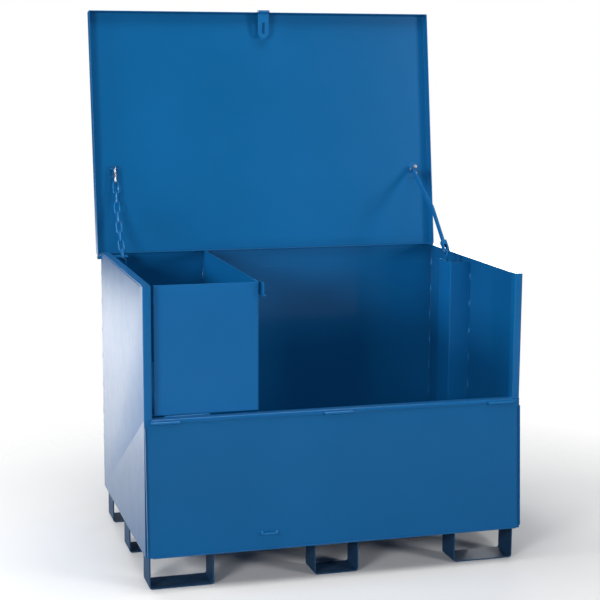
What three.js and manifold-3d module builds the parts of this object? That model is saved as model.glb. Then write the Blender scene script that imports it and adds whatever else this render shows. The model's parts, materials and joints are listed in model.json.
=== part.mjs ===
// A welded sheet steel storage box for a building site, standing on nine strap feet.
// The lid is open and leans back, held by a chain on the left and a cranked stay on the right.
// The front flap is folded down and shows its inner face. Lengths are millimetres and +Z is up.
// The origin lies on the ground under the middle of the body, +X is to the right seen from the
// front, and +Y points to the back.

import * as THREE from 'three';
import { mergeVertices } from 'three/addons/utils/BufferGeometryUtils.js';
import Module from 'manifold-3d';

const wasm = await Module();
wasm.setup();

// Overall sizes of the body
const WIDTH = 1200;
const DEPTH = 800;
const BODY_HEIGHT = 820;
const FOOT_HEIGHT = 106;
const SHEET = 2.5;

// Gaps shared by all pieces
const SEAM = 0.3; // left between two pieces that are welded, bolted or resting on each other
const CUT_OVERRUN = 5; // every cutter runs this far past the face it cuts

// Smoothness of round shapes
const ROUND_SIDES = 24;
const WIRE_SIDES = 8;
const LINK_SIDES = 16;
const BEND_STEPS = 3;

// Side panels with their front posts and top returns
const POST_FACE = 25;
const POST_RETURN = 30;
const TOP_RETURN = 28;
const SHEET_BEND = 1.5; // inner radius of a fold

// Lower front panel with its ledge
const LEDGE_TOP = 527;
const LEDGE_DEPTH = 30;

// Feet: flat strap bent to a U, open to the front and back
const STRAP = 4;
const STRAP_BEND = 6;
const FOOT_DEPTH = 100;
const END_FOOT_WIDTH = 200;
const CENTRE_FOOT_WIDTH = 143;
const END_FOOT_INSET = 10;
const FEET_SHIFT = 3; // the feet are welded this far to the right of the middle
const FRONT_FOOT_INSET = 10;
const MIDDLE_FOOT_SHIFT = 11; // the middle row is welded this far behind the middle of the other two

// Tool bin on the left
const BIN_WIDTH = 357;
const BIN_FRONT_BACKSET = 33;
const BIN_FRONT_START = 38;
const BIN_FLOOR_RISE = 8; // above the ledge
const BIN_TOP_DROP = 1;
const BIN_FRONT_LIFT = 5; // slot between the ledge and the bin front

// Lid, drawn closed
const LID_SHEET = 2.5;
const LID_REST_GAP = 1;
const LID_SIDE_CLEARANCE = 7.5;
const LID_FRONT_CLEARANCE = 2;
const LID_REAR_CLEARANCE = 10;
const LID_FLANGE = 40;
const LID_REAR_FLANGE = 14;
const LID_AXIS_BACK = 22; // the hinge axis lies behind the back panel
const LID_AXIS_DROP = 20; // and below the inner face of the closed lid
const LID_OPEN_ANGLE = 98.1; // degrees

// Lid hinges
const LID_KNUCKLE_RADIUS = 8;
const LID_PIN_RADIUS = 4;
const LID_LEAF = 3.5;
const LID_LEAF_HEIGHT = 45;
const LID_KNUCKLES = 5;
const LID_KNUCKLE_LENGTH = 24;
const LID_HINGE_OUTSET = 8; // the end hinges start this far outside the body
const KNUCKLE_GAP = 0.6;
const PIN_CLEARANCE = 0.3;
const PIN_HEAD = 2;

// Flap, drawn closed
const FLAP_SHEET = 2;
const FLAP_SIDE_GAP = 1;
const FLAP_REST_GAP = 0.8;
const FLAP_AXIS_DROP = 10; // below the ledge
const FLAP_BELOW_AXIS = 1;
const FLAP_TOP_GAP = 4; // to the inner face of the closed lid
const FLAP_FLANGE_START = 12;
const FLAP_FLANGE_STOP = 9;
const FLAP_EDGE_INSET = 15;

// Flap hinges
const FLAP_KNUCKLE_RADIUS = 5;
const FLAP_PIN_RADIUS = 2.5;
const FLAP_KNUCKLES = 3;
const FLAP_KNUCKLE_LENGTH = 30;
const FLAP_HINGE_INSET = 18;
const FLAP_LEAF = 2;

// Padlock eye on the outer face of the flap
const EYE_THICKNESS = 7;
const EYE_REACH = 21;
const EYE_HEIGHT = 26;
const EYE_HOLE_RADIUS = 4;
const EYE_CORNER = 8;

// Hasp that hangs from the rim of the lid
const HASP_WIDTH = 38;
const HASP_SHEET = 4;
const HASP_LENGTH = 93;
const HASP_POINT_LENGTH = 14;
const HASP_POINT_WIDTH = 14;
const HASP_SLOT_WIDTH = 10;
const HASP_SLOT_LENGTH = 38;
const HASP_SLOT_DROP = 38;
const HASP_KNUCKLE_RADIUS = 5;
const HASP_PIN_RADIUS = 2.5;
const HASP_KNUCKLE_LENGTH = 12;
const HASP_RIM_GAP = 1; // between the rim of the lid and the knuckles
const HASP_LEAF = 3;
const HASP_LEAF_HEIGHT = 24;

// Keeper loop on the flap and the catch on the bin divider
const KEEPER_BAR_RADIUS = 3.5;
const KEEPER_STAND = 14;
const KEEPER_LEFT = 354; // from the left side of the body
const KEEPER_SPAN = 46;
const KEEPER_DROP = 50; // below the top of the closed flap
const KEEPER_BEND = 7;
const KEEPER_STEPS = 16;
const CATCH_SHEET = 3;
const CATCH_OFFSET = 8;
const CATCH_FRONT = 8; // behind the front of the body
const CATCH_STEP = 34; // from its front end to the joggle
const CATCH_JOGGLE = 9;
const CATCH_TAIL = 35;
const CATCH_HEIGHT = 40;
const CATCH_KEEPER_GAP = 7;
const CATCH_LIP = 8;

// Stay on the right: bracket, cranked arm, drop bar and guard
const STAY_INSET = 58; // centre plane of the stay, from the right side of the body
const STAY_PIN_ALONG = 280; // from the lid axis
const STAY_PIN_STAND = 20; // below the inner face of the closed lid
const STAY_PIN_RADIUS = 4;
const STAY_PIN_HEAD_RADIUS = 6;
const STAY_ARM_THICKNESS = 6;
const STAY_ARM_WIDTH = 18;
const STAY_KNEE_BACKSET = 508; // from the front of the body
const STAY_KNEE_RISE = 6; // above the top of the body
const STAY_CRANK_SHARE = 0.56;
const STAY_CRANK_OFFSET = 27;
const STAY_CRANK_BEND = 40;
const STAY_EYE_RADIUS = 10;
const FORK_EAR = 4;
const FORK_GAP = 10;
const FORK_LENGTH = 44;
const DROP_BAR_THICKNESS = 7;
const DROP_BAR_LENGTH = 200;
const BRACKET_SHEET = 3;
const BRACKET_LENGTH = 54;
const BRACKET_WIDTH = 34;
const BRACKET_EAR_GAP = 1;
const BRACKET_BOLT_SPACING = 25;
const BRACKET_BOLT_EDGE = 9;
const BRACKET_BOLT_RADIUS = 5.5;
const BRACKET_BOLT_HEIGHT = 4.5;
const HEX_SIDES = 6;
const GUARD_REACH = 75; // from the right side of the body
const GUARD_FRONT = 424;
const GUARD_DEPTH = 104;
const GUARD_TOP_DROP = 21;
const GUARD_HEIGHT = 665;

// Chain on the left: eye on the lid, quick link, links and the slotted wall tab
const CHAIN_INSET = 62;
const CHAIN_WIRE_RADIUS = 2.75;
const CHAIN_INNER_WIDTH = 12;
const CHAIN_INNER_LENGTH = 35.8;
const CHAIN_LINKS = 9;
const CHAIN_BEND = 4; // degrees from each link to the next, because the chain sags a little
const QUICK_WIRE_RADIUS = 3;
const QUICK_INNER_WIDTH = 12;
const QUICK_INNER_LENGTH = 51.5;
const QUICK_SLEEVE_RADIUS = 4.8;
const QUICK_SLEEVE_LENGTH = 16;
const CHAIN_EYE_ALONG = 299.5; // from the lid axis
const CHAIN_EYE_STAND = 19; // from the inner face of the lid to the middle of its web
const CHAIN_EYE_SHEET = 4;
const CHAIN_EYE_WEB = 6;
const CHAIN_EYE_WIDTH = 30;
const CHAIN_EYE_HOLE_RADIUS = 6.5;
const TAB_SHEET = 4;
const TAB_PRONG = 13;
const TAB_SLOT_WIDTH = 8;
const TAB_SLOT_DEPTH = 31; // behind the last link
const TAB_NOSE = 8; // in front of the last link
const TAB_WEB = 8;

// Colours and finishes
const LOOKS = {
  outside: { color: 0x1a5f9e, roughness: 0.35, metalness: 0.1 },
  inside: { color: 0x1b5a94, roughness: 0.4, metalness: 0.1 },
  lid: { color: 0x1c68a8, roughness: 0.35, metalness: 0.1 },
  flap: { color: 0x1a5a94, roughness: 0.4, metalness: 0.1 },
  bin: { color: 0x1c65a4, roughness: 0.35, metalness: 0.1 },
  feet: { color: 0x16304d, roughness: 0.5, metalness: 0.1 },
  fittings: { color: 0x1d5688, roughness: 0.4, metalness: 0.2 },
  zinc: { color: 0xb9bfc4, roughness: 0.35, metalness: 0.9 },
  steel: { color: 0x8c9299, roughness: 0.4, metalness: 0.9 },
};

// Planes that several pieces share
const LEFT = -WIDTH / 2;
const RIGHT = WIDTH / 2;
const FRONT = -DEPTH / 2;
const BACK = DEPTH / 2;
const TOP = FOOT_HEIGHT + BODY_HEIGHT;
const LID_INNER = TOP + LID_REST_GAP;
const LID_AXIS = { y: BACK + LID_AXIS_BACK, z: LID_INNER - LID_AXIS_DROP };
const FLAP_AXIS = { y: FRONT - FLAP_KNUCKLE_RADIUS - SEAM, z: LEDGE_TOP - FLAP_AXIS_DROP };
const FLAP_OUTER = FLAP_AXIS.y - FLAP_KNUCKLE_RADIUS;
const FLAP_INNER = FLAP_OUTER + FLAP_SHEET;
const FLAP_TOP = LID_INNER - FLAP_TOP_GAP;
const LID_FRONT = FLAP_OUTER - LID_FRONT_CLEARANCE - LID_SHEET;
const LID_REAR = BACK + LID_REAR_CLEARANCE + LID_SHEET;
const LID_HALF_WIDTH = RIGHT + LID_SIDE_CLEARANCE + LID_SHEET;
const LID_RIM = LID_INNER + LID_SHEET - LID_FLANGE;
const BIN_FLOOR_TOP = LEDGE_TOP + BIN_FLOOR_RISE;
const HASP_AXIS = {
  y: FLAP_OUTER - FLAP_REST_GAP - HASP_KNUCKLE_RADIUS,
  z: LID_RIM - HASP_RIM_GAP - HASP_KNUCKLE_RADIUS,
};

// Makes a solid of a closed geometry, ready to be joined and cut.
function solid(geometry) {
  const bare = geometry.clone();
  bare.deleteAttribute('normal');
  bare.deleteAttribute('uv');
  const merged = mergeVertices(bare);
  const vertProperties = Float32Array.from(merged.attributes.position.array);
  const triVerts = Uint32Array.from(merged.index.array);
  return new wasm.Manifold(new wasm.Mesh({ numProp: 3, vertProperties, triVerts }));
}

function join(...solids) {
  return solids.reduce((whole, piece) => whole.add(piece));
}

// A box between pairs of planes, each given as [low, high].
function block([x0, x1], [y0, y1], [z0, z1]) {
  const geometry = new THREE.BoxGeometry(x1 - x0, y1 - y0, z1 - z0);
  geometry.translate((x0 + x1) / 2, (y0 + y1) / 2, (z0 + z1) / 2);
  return solid(geometry);
}

const X_AXIS = new THREE.Vector3(1, 0, 0);
const Y_AXIS = new THREE.Vector3(0, 1, 0);
const Z_AXIS = new THREE.Vector3(0, 0, 1);

function extrude(shape, depth) {
  return new THREE.ExtrudeGeometry(shape, { depth, bevelEnabled: false, curveSegments: BEND_STEPS * 2 });
}

// Prisms: an outline in (y, z) carried along X, one in (x, z) along Y, and one in (x, y) along Z.
function prismX(outline, [x0, x1]) {
  const geometry = extrude(shapeOf(outline), x1 - x0);
  geometry.applyMatrix4(new THREE.Matrix4().makeBasis(Y_AXIS, Z_AXIS, X_AXIS));
  geometry.translate(x0, 0, 0);
  return solid(geometry);
}

function prismY(outline, [y0, y1]) {
  const geometry = extrude(shapeOf(outline), y1 - y0);
  geometry.applyMatrix4(new THREE.Matrix4().makeBasis(X_AXIS, Z_AXIS, Y_AXIS.clone().negate()));
  geometry.translate(0, y1, 0);
  return solid(geometry);
}

function prismZ(outline, [z0, z1]) {
  const geometry = extrude(shapeOf(outline), z1 - z0);
  geometry.translate(0, 0, z0);
  return solid(geometry);
}

function shapeOf(outline) {
  return new THREE.Shape(outline.map(([a, b]) => new THREE.Vector2(a, b)));
}

// A round bar along X between two planes.
function barX(y, z, radius, [x0, x1], sides = ROUND_SIDES) {
  const geometry = new THREE.CylinderGeometry(radius, radius, x1 - x0, sides);
  geometry.rotateZ(-Math.PI / 2);
  geometry.translate((x0 + x1) / 2, y, z);
  return solid(geometry);
}

function barZ(x, y, radius, [z0, z1], sides = ROUND_SIDES) {
  const geometry = new THREE.CylinderGeometry(radius, radius, z1 - z0, sides);
  geometry.rotateX(Math.PI / 2);
  geometry.translate(x, y, (z0 + z1) / 2);
  return solid(geometry);
}

// A knuckle: a short tube along X round a hinge pin.
function knuckle(axis, radius, pinRadius, [x0, x1]) {
  const bore = barX(axis.y, axis.z, pinRadius + PIN_CLEARANCE, [x0 - CUT_OVERRUN, x1 + CUT_OVERRUN]);
  return barX(axis.y, axis.z, radius, [x0, x1]).subtract(bore);
}

const heading = (path, i) => path[i + 1].clone().sub(path[i]).normalize();
const beside = (point, along, amount) =>
  new THREE.Vector2(point.x - along.y * amount, point.y + along.x * amount);

// The round bend that replaces an inner point of a path: its centre, its side and its spokes.
function bendAt(path, i, radius) {
  const before = heading(path, i - 1);
  const after = heading(path, i);
  const side = Math.sign(before.cross(after));
  const angle = Math.acos(THREE.MathUtils.clamp(before.dot(after), -1, 1));
  const start = path[i].clone().addScaledVector(before, -radius * Math.tan(angle / 2));
  const centre = beside(start, before, side * radius);
  const first = start.clone().sub(centre).normalize();
  const spokes = Array.from({ length: BEND_STEPS + 1 }, (_, step) =>
    first.clone().rotateAround(new THREE.Vector2(), (side * angle * step) / BEND_STEPS));
  return { centre, side, spokes };
}

// The outline of a sheet folded along a line of points, with a round bend at each inner point.
// The points run along the middle of the sheet.
function foldedStrip(points, thickness, bend) {
  const path = points.map(([a, b]) => new THREE.Vector2(a, b));
  const half = thickness / 2;
  const middle = bend + half;
  const last = path.length - 1;
  const leftSide = [beside(path[0], heading(path, 0), half)];
  const rightSide = [beside(path[0], heading(path, 0), -half)];
  for (let i = 1; i < last; i += 1) {
    const { centre, side, spokes } = bendAt(path, i, middle);
    for (const spoke of spokes) {
      leftSide.push(centre.clone().addScaledVector(spoke, middle - side * half));
      rightSide.push(centre.clone().addScaledVector(spoke, middle + side * half));
    }
  }
  leftSide.push(beside(path[last], heading(path, last - 1), half));
  rightSide.push(beside(path[last], heading(path, last - 1), -half));
  return [...rightSide, ...leftSide.reverse()].map((point) => [point.x, point.y]);
}

// An outline with each inner point rounded.
function rounded(points, radius) {
  const path = points.map(([a, b]) => new THREE.Vector2(a, b));
  const last = path.length - 1;
  const outline = [path[0]];
  for (let i = 1; i < last; i += 1) {
    const { centre, spokes } = bendAt(path, i, radius);
    outline.push(...spokes.map((spoke) => centre.clone().addScaledVector(spoke, radius)));
  }
  outline.push(path[last]);
  return outline.map((point) => [point.x, point.y]);
}

// A span measured inwards from the outer face of the left (-1) or the right (1) side of the body.
function fromSide(side, outer, inner) {
  return [side * (RIGHT - outer), side * (RIGHT - inner)].sort((a, b) => a - b);
}

function meshOf(name, piece, look) {
  const { numProp, vertProperties, triVerts } = piece.getMesh();
  const geometry = new THREE.BufferGeometry();
  const positions = new THREE.BufferAttribute(Float32Array.from(vertProperties), numProp);
  geometry.setAttribute('position', positions);
  geometry.setIndex(new THREE.BufferAttribute(Uint32Array.from(triVerts), 1));
  geometry.computeVertexNormals();
  const mesh = new THREE.Mesh(geometry, new THREE.MeshStandardMaterial(LOOKS[look]));
  mesh.name = name;
  return mesh;
}

const model = new THREE.Group();

function put(name, piece, look, x = 0, y = 0) {
  const mesh = meshOf(name, piece, look);
  mesh.position.set(x, y, 0);
  model.add(mesh);
}

// The lid and the flap are drawn closed, each in a group that turns about its hinge axis.
function turnedGroup(axis, angle) {
  const group = new THREE.Group();
  group.position.set(0, axis.y, axis.z);
  group.rotation.x = angle;
  model.add(group);
  return (name, piece, look) => {
    const mesh = meshOf(name, piece, look);
    mesh.position.set(0, -axis.y, -axis.z);
    group.add(mesh);
  };
}

// Where a point of the turned piece comes to lie.
function turned(axis, angle, y, z) {
  const arm = new THREE.Vector2(y - axis.y, z - axis.z).rotateAround(new THREE.Vector2(), angle);
  return { y: axis.y + arm.x, z: axis.z + arm.y };
}

// Side panels: one folded sheet each, with a post beside the front opening and a top return.
function sidePanel(side) {
  const half = SHEET / 2;
  const bendZone = SHEET + SHEET_BEND;
  const across = (inset) => side * (RIGHT - inset);
  const wall = block(fromSide(side, 0, SHEET), [FRONT, BACK], [FOOT_HEIGHT, TOP]);
  const postPath = [
    [across(half), FRONT + POST_RETURN],
    [across(half), FRONT + half],
    [across(POST_FACE - half), FRONT + half],
    [across(POST_FACE - half), FRONT + POST_RETURN],
  ];
  const post = prismZ(foldedStrip(postPath, SHEET, SHEET_BEND), [LEDGE_TOP + SEAM, TOP]);
  const corner = block(
    fromSide(side, -CUT_OVERRUN, bendZone),
    [FRONT - CUT_OVERRUN, FRONT + bendZone],
    [LEDGE_TOP + SEAM, TOP + CUT_OVERRUN],
  );
  const topPath = [
    [across(half), TOP - TOP_RETURN],
    [across(half), TOP - half],
    [across(TOP_RETURN), TOP - half],
  ];
  const topReturn = prismY(foldedStrip(topPath, SHEET, SHEET_BEND), [FRONT + POST_RETURN, BACK]);
  const topEdge = block(
    fromSide(side, -CUT_OVERRUN, bendZone),
    [FRONT + POST_RETURN, BACK + CUT_OVERRUN],
    [TOP - bendZone, TOP + CUT_OVERRUN],
  );
  const postCap = prismZ(rounded(postPath, SHEET_BEND + half), [TOP - SHEET, TOP]);
  return join(wall.subtract(corner).subtract(topEdge), post, topReturn, postCap);
}

put('left_side_panel', sidePanel(-1), 'outside');
put('right_side_panel', sidePanel(1), 'outside');

// Back panel with a return along its top, between the side panels
function backPanel() {
  const half = SHEET / 2;
  const path = [
    [BACK - half, FOOT_HEIGHT],
    [BACK - half, TOP - half],
    [BACK - TOP_RETURN, TOP - half],
  ];
  const reach = RIGHT - SHEET - SEAM;
  const sheet = prismX(foldedStrip(path, SHEET, SHEET_BEND), [-reach, reach]);
  const cornerReach = RIGHT - TOP_RETURN - SEAM;
  const corners = [-1, 1].map((side) => block(
    fromSide(side, -CUT_OVERRUN, RIGHT - cornerReach),
    [BACK - TOP_RETURN - CUT_OVERRUN, BACK + CUT_OVERRUN],
    [TOP - SHEET - SHEET_BEND - SEAM, TOP + CUT_OVERRUN],
  ));
  return corners.reduce((whole, corner) => whole.subtract(corner), sheet);
}

put('back_panel', backPanel(), 'outside');

const INNER_REACH = RIGHT - SHEET - SEAM;
const floorPanel = block(
  [-INNER_REACH, INNER_REACH],
  [FRONT + SHEET + SEAM, BACK - SHEET - SEAM],
  [FOOT_HEIGHT, FOOT_HEIGHT + SHEET],
);
put('floor_panel', floorPanel, 'inside');

// Lower front panel, folded back at its top to a ledge
const ledgePath = [
  [FRONT + SHEET / 2, FOOT_HEIGHT],
  [FRONT + SHEET / 2, LEDGE_TOP - SHEET / 2],
  [FRONT + LEDGE_DEPTH, LEDGE_TOP - SHEET / 2],
];
const lowerFront = prismX(foldedStrip(ledgePath, SHEET, SHEET_BEND), [-INNER_REACH, INNER_REACH]);
put('lower_front_panel', lowerFront, 'outside');

// Nine feet in three rows
function foot(width) {
  const reach = width / 2 - STRAP / 2;
  const path = [
    [-reach, FOOT_HEIGHT - SEAM],
    [-reach, STRAP / 2],
    [reach, STRAP / 2],
    [reach, FOOT_HEIGHT - SEAM],
  ];
  return prismY(foldedStrip(path, STRAP, STRAP_BEND), [0, FOOT_DEPTH]);
}

const END_FOOT_REACH = RIGHT - END_FOOT_INSET - END_FOOT_WIDTH / 2;
const FOOT_COLUMNS = {
  left: { x: -END_FOOT_REACH, width: END_FOOT_WIDTH },
  centre: { x: 0, width: CENTRE_FOOT_WIDTH },
  right: { x: END_FOOT_REACH, width: END_FOOT_WIDTH },
};
const FRONT_ROW = FRONT + FRONT_FOOT_INSET;
const BACK_ROW = BACK - FOOT_DEPTH;
const FOOT_ROWS = {
  front: FRONT_ROW,
  middle: (FRONT_ROW + BACK_ROW) / 2 + MIDDLE_FOOT_SHIFT,
  back: BACK_ROW,
};
for (const [row, y] of Object.entries(FOOT_ROWS)) {
  for (const [column, { x, width }] of Object.entries(FOOT_COLUMNS)) {
    put(`foot_${row}_${column}`, foot(width), 'feet', x + FEET_SHIFT, y);
  }
}

// Tool bin: front, divider and floor
const DIVIDER_LEFT = LEFT + BIN_WIDTH - SHEET;
const BIN_TOP = TOP - BIN_TOP_DROP;
const BIN_FRONT = FRONT + BIN_FRONT_BACKSET;
const BIN_BACK = BACK - SHEET - SEAM;
const binFront = block(
  [LEFT + BIN_FRONT_START, DIVIDER_LEFT - SEAM],
  [BIN_FRONT, BIN_FRONT + SHEET],
  [LEDGE_TOP + BIN_FRONT_LIFT, BIN_TOP],
);
const divider = block(
  [DIVIDER_LEFT, DIVIDER_LEFT + SHEET],
  [BIN_FRONT, BIN_BACK],
  [LEDGE_TOP + BIN_FRONT_LIFT, BIN_TOP],
);
const dividerNotch = block(
  [DIVIDER_LEFT - CUT_OVERRUN, DIVIDER_LEFT + SHEET + CUT_OVERRUN],
  [BACK - TOP_RETURN - SEAM, BACK],
  [TOP - SHEET - SHEET_BEND - SEAM, TOP],
);
const binFloor = block(
  [LEFT + SHEET + SEAM, DIVIDER_LEFT - SEAM],
  [BIN_FRONT + SHEET + SEAM, BIN_BACK],
  [BIN_FLOOR_TOP - SHEET, BIN_FLOOR_TOP],
);
put('bin_front_panel', binFront, 'bin');
put('bin_divider', divider.subtract(dividerNotch), 'bin');
put('bin_floor', binFloor, 'inside');

// Catch on the divider: a joggled strip whose lower lip snaps over the keeper loop of the flap
const KEEPER_HEIGHT = FLAP_TOP - KEEPER_DROP;
const CATCH_BOTTOM = KEEPER_HEIGHT + KEEPER_BAR_RADIUS + CATCH_KEEPER_GAP;
const CATCH_NEAR = DIVIDER_LEFT + SHEET + SEAM + CATCH_SHEET / 2;
const CATCH_FAR = CATCH_NEAR + CATCH_OFFSET;
const catchStart = FRONT + CATCH_FRONT;
const catchPath = [
  [CATCH_FAR, catchStart],
  [CATCH_FAR, catchStart + CATCH_STEP],
  [CATCH_NEAR, catchStart + CATCH_STEP + CATCH_JOGGLE],
  [CATCH_NEAR, catchStart + CATCH_STEP + CATCH_JOGGLE + CATCH_TAIL],
];
const catchStrip = prismZ(
  foldedStrip(catchPath, CATCH_SHEET, SHEET_BEND),
  [CATCH_BOTTOM, CATCH_BOTTOM + CATCH_HEIGHT],
);
const catchLip = block(
  [CATCH_FAR, CATCH_FAR + CATCH_LIP],
  [catchStart, catchStart + CATCH_STEP - CATCH_LIP],
  [CATCH_BOTTOM, CATCH_BOTTOM + CATCH_SHEET],
);
put('flap_catch', join(catchStrip, catchLip), 'fittings');

// Lid pan with flanges on all four sides
const lid = turnedGroup(LID_AXIS, -THREE.MathUtils.degToRad(LID_OPEN_ANGLE));
const lidAtRest = (y, z) => turned(LID_AXIS, -THREE.MathUtils.degToRad(LID_OPEN_ANGLE), y, z);

function lidPan() {
  const lidTop = LID_INNER + LID_SHEET;
  const arch = (inset, bottom) => [
    [LID_FRONT + inset, bottom],
    [LID_FRONT + inset, lidTop - inset],
    [LID_REAR - inset, lidTop - inset],
    [LID_REAR - inset, bottom],
  ];
  const innerReach = LID_HALF_WIDTH - LID_SHEET;
  const outline = rounded(arch(0, LID_RIM), LID_SHEET + SHEET_BEND);
  const hollow = rounded(arch(LID_SHEET, LID_RIM - CUT_OVERRUN), SHEET_BEND);
  const outside = prismX(outline, [-LID_HALF_WIDTH, LID_HALF_WIDTH]);
  const inside = prismX(hollow, [-innerReach, innerReach]);
  const rearCut = block(
    [-innerReach, innerReach],
    [LID_REAR - LID_SHEET - CUT_OVERRUN, LID_REAR + CUT_OVERRUN],
    [LID_RIM - CUT_OVERRUN, lidTop - LID_REAR_FLANGE],
  );
  return outside.subtract(inside).subtract(rearCut);
}

lid('lid_panel', lidPan(), 'lid');

// Lid hinges: leaves on the body and on the rear flange of the lid, joined by a pin
const LID_HINGE_LENGTH = LID_KNUCKLES * LID_KNUCKLE_LENGTH;
const LID_HINGE_STARTS = {
  left: LEFT - LID_HINGE_OUTSET,
  centre: -LID_HINGE_LENGTH / 2,
  right: RIGHT + LID_HINGE_OUTSET - LID_HINGE_LENGTH,
};

function knuckleSpan(start, index, length) {
  return [start + index * length + KNUCKLE_GAP / 2, start + (index + 1) * length - KNUCKLE_GAP / 2];
}

function lidPinBore(start) {
  return barX(LID_AXIS.y, LID_AXIS.z, LID_PIN_RADIUS + PIN_CLEARANCE, [start, start + LID_HINGE_LENGTH]);
}

function bodyLeaf(start) {
  const leafY = [BACK + SEAM, BACK + SEAM + LID_LEAF];
  const webTop = LID_AXIS.z - LID_KNUCKLE_RADIUS + LID_LEAF;
  const bore = lidPinBore(start);
  const pieces = [];
  for (let index = 1; index < LID_KNUCKLES; index += 2) {
    const span = knuckleSpan(start, index, LID_KNUCKLE_LENGTH);
    pieces.push(knuckle(LID_AXIS, LID_KNUCKLE_RADIUS, LID_PIN_RADIUS, span));
    const web = block(span, [leafY[0], LID_AXIS.y], [LID_AXIS.z - LID_KNUCKLE_RADIUS, webTop]);
    pieces.push(web.subtract(bore));
  }
  const leafSpan = [knuckleSpan(start, 1, LID_KNUCKLE_LENGTH)[0],
    knuckleSpan(start, LID_KNUCKLES - 2, LID_KNUCKLE_LENGTH)[1]];
  const leafZ = [webTop - LID_LEAF_HEIGHT, webTop];
  return join(block(leafSpan, leafY, leafZ), ...pieces);
}

function lidLeaf(start) {
  const leafY = [LID_REAR + SEAM, LID_REAR + SEAM + LID_LEAF];
  const webZ = [LID_AXIS.z + LID_KNUCKLE_RADIUS - LID_LEAF, LID_AXIS.z + LID_KNUCKLE_RADIUS];
  const plateBottom = LID_AXIS.z + LID_KNUCKLE_RADIUS + KNUCKLE_GAP;
  const bore = lidPinBore(start);
  const pieces = [];
  for (let index = 0; index < LID_KNUCKLES; index += 2) {
    const span = knuckleSpan(start, index, LID_KNUCKLE_LENGTH);
    pieces.push(knuckle(LID_AXIS, LID_KNUCKLE_RADIUS, LID_PIN_RADIUS, span));
    pieces.push(block(span, [leafY[0], LID_AXIS.y], webZ).subtract(bore));
    pieces.push(block(span, leafY, [webZ[0], plateBottom]));
  }
  const leafSpan = [start + KNUCKLE_GAP / 2, start + LID_HINGE_LENGTH - KNUCKLE_GAP / 2];
  return join(block(leafSpan, leafY, [plateBottom, LID_INNER]), ...pieces);
}

function pin(axis, radius, headRadius, [x0, x1]) {
  const shank = barX(axis.y, axis.z, radius, [x0 - PIN_HEAD / 2, x1 + PIN_HEAD / 2]);
  const headSpans = [[x0 - PIN_HEAD, x0], [x1, x1 + PIN_HEAD]];
  const heads = headSpans.map((span) => barX(axis.y, axis.z, headRadius, span));
  return join(shank, ...heads);
}

for (const [place, start] of Object.entries(LID_HINGE_STARTS)) {
  const ends = [start, start + LID_HINGE_LENGTH];
  const hingePin = pin(LID_AXIS, LID_PIN_RADIUS, LID_KNUCKLE_RADIUS - PIN_CLEARANCE, ends);
  put(`lid_hinge_body_leaf_${place}`, bodyLeaf(start), 'fittings');
  lid(`lid_hinge_lid_leaf_${place}`, lidLeaf(start), 'fittings');
  put(`lid_hinge_pin_${place}`, hingePin, 'steel');
}

// Flap hinges: a narrow leaf on the ledge with two knuckles and the pin fixed in them, and one
// knuckle between them welded to the flap
const FLAP_HINGE_LENGTH = FLAP_KNUCKLES * FLAP_KNUCKLE_LENGTH;
const FLAP_HINGE_STARTS = {
  left: LEFT + FLAP_HINGE_INSET,
  centre: -FLAP_HINGE_LENGTH / 2,
  right: RIGHT - FLAP_HINGE_INSET - FLAP_HINGE_LENGTH,
};
const flapKnuckle = (start) =>
  knuckle(FLAP_AXIS, FLAP_KNUCKLE_RADIUS, FLAP_PIN_RADIUS, knuckleSpan(start, 1, FLAP_KNUCKLE_LENGTH));

function ledgeLeaf(start) {
  const leafY = [FRONT - SEAM - FLAP_LEAF, FRONT - SEAM];
  const leaf = block([start, start + FLAP_HINGE_LENGTH], leafY, [FLAP_AXIS.z, LEDGE_TOP - SHEET_BEND]);
  const middle = knuckleSpan(start, 1, FLAP_KNUCKLE_LENGTH);
  const relief = block(
    [middle[0] - KNUCKLE_GAP, middle[1] + KNUCKLE_GAP],
    [leafY[0] - CUT_OVERRUN, leafY[1] + CUT_OVERRUN],
    [FLAP_AXIS.z - CUT_OVERRUN, FLAP_AXIS.z + FLAP_KNUCKLE_RADIUS + KNUCKLE_GAP],
  );
  const knuckles = [0, FLAP_KNUCKLES - 1].map((index) =>
    barX(FLAP_AXIS.y, FLAP_AXIS.z, FLAP_KNUCKLE_RADIUS, knuckleSpan(start, index, FLAP_KNUCKLE_LENGTH)));
  const shank = barX(FLAP_AXIS.y, FLAP_AXIS.z, FLAP_PIN_RADIUS, [start, start + FLAP_HINGE_LENGTH]);
  return join(leaf.subtract(relief), shank, ...knuckles);
}

// Flap pan. It hangs folded down at rest and leans out, because the padlock eye on its outer
// face stands against the lower front panel.
const EYE_HEIGHT_ABOVE_AXIS = HASP_AXIS.z - HASP_SLOT_DROP - HASP_SLOT_LENGTH / 2 - FLAP_AXIS.z;
const EYE_TIP = {
  along: EYE_HEIGHT_ABOVE_AXIS - EYE_HEIGHT / 2 + EYE_CORNER,
  out: FLAP_KNUCKLE_RADIUS + EYE_REACH,
};
const EYE_STOP = FRONT - SEAM - FLAP_AXIS.y;
const FLAP_LEAN = Math.atan2(EYE_TIP.out, EYE_TIP.along)
  - Math.asin(EYE_STOP / Math.hypot(EYE_TIP.out, EYE_TIP.along));
const FLAP_TURN = Math.PI - FLAP_LEAN;
const flap = turnedGroup(FLAP_AXIS, FLAP_TURN);

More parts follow.
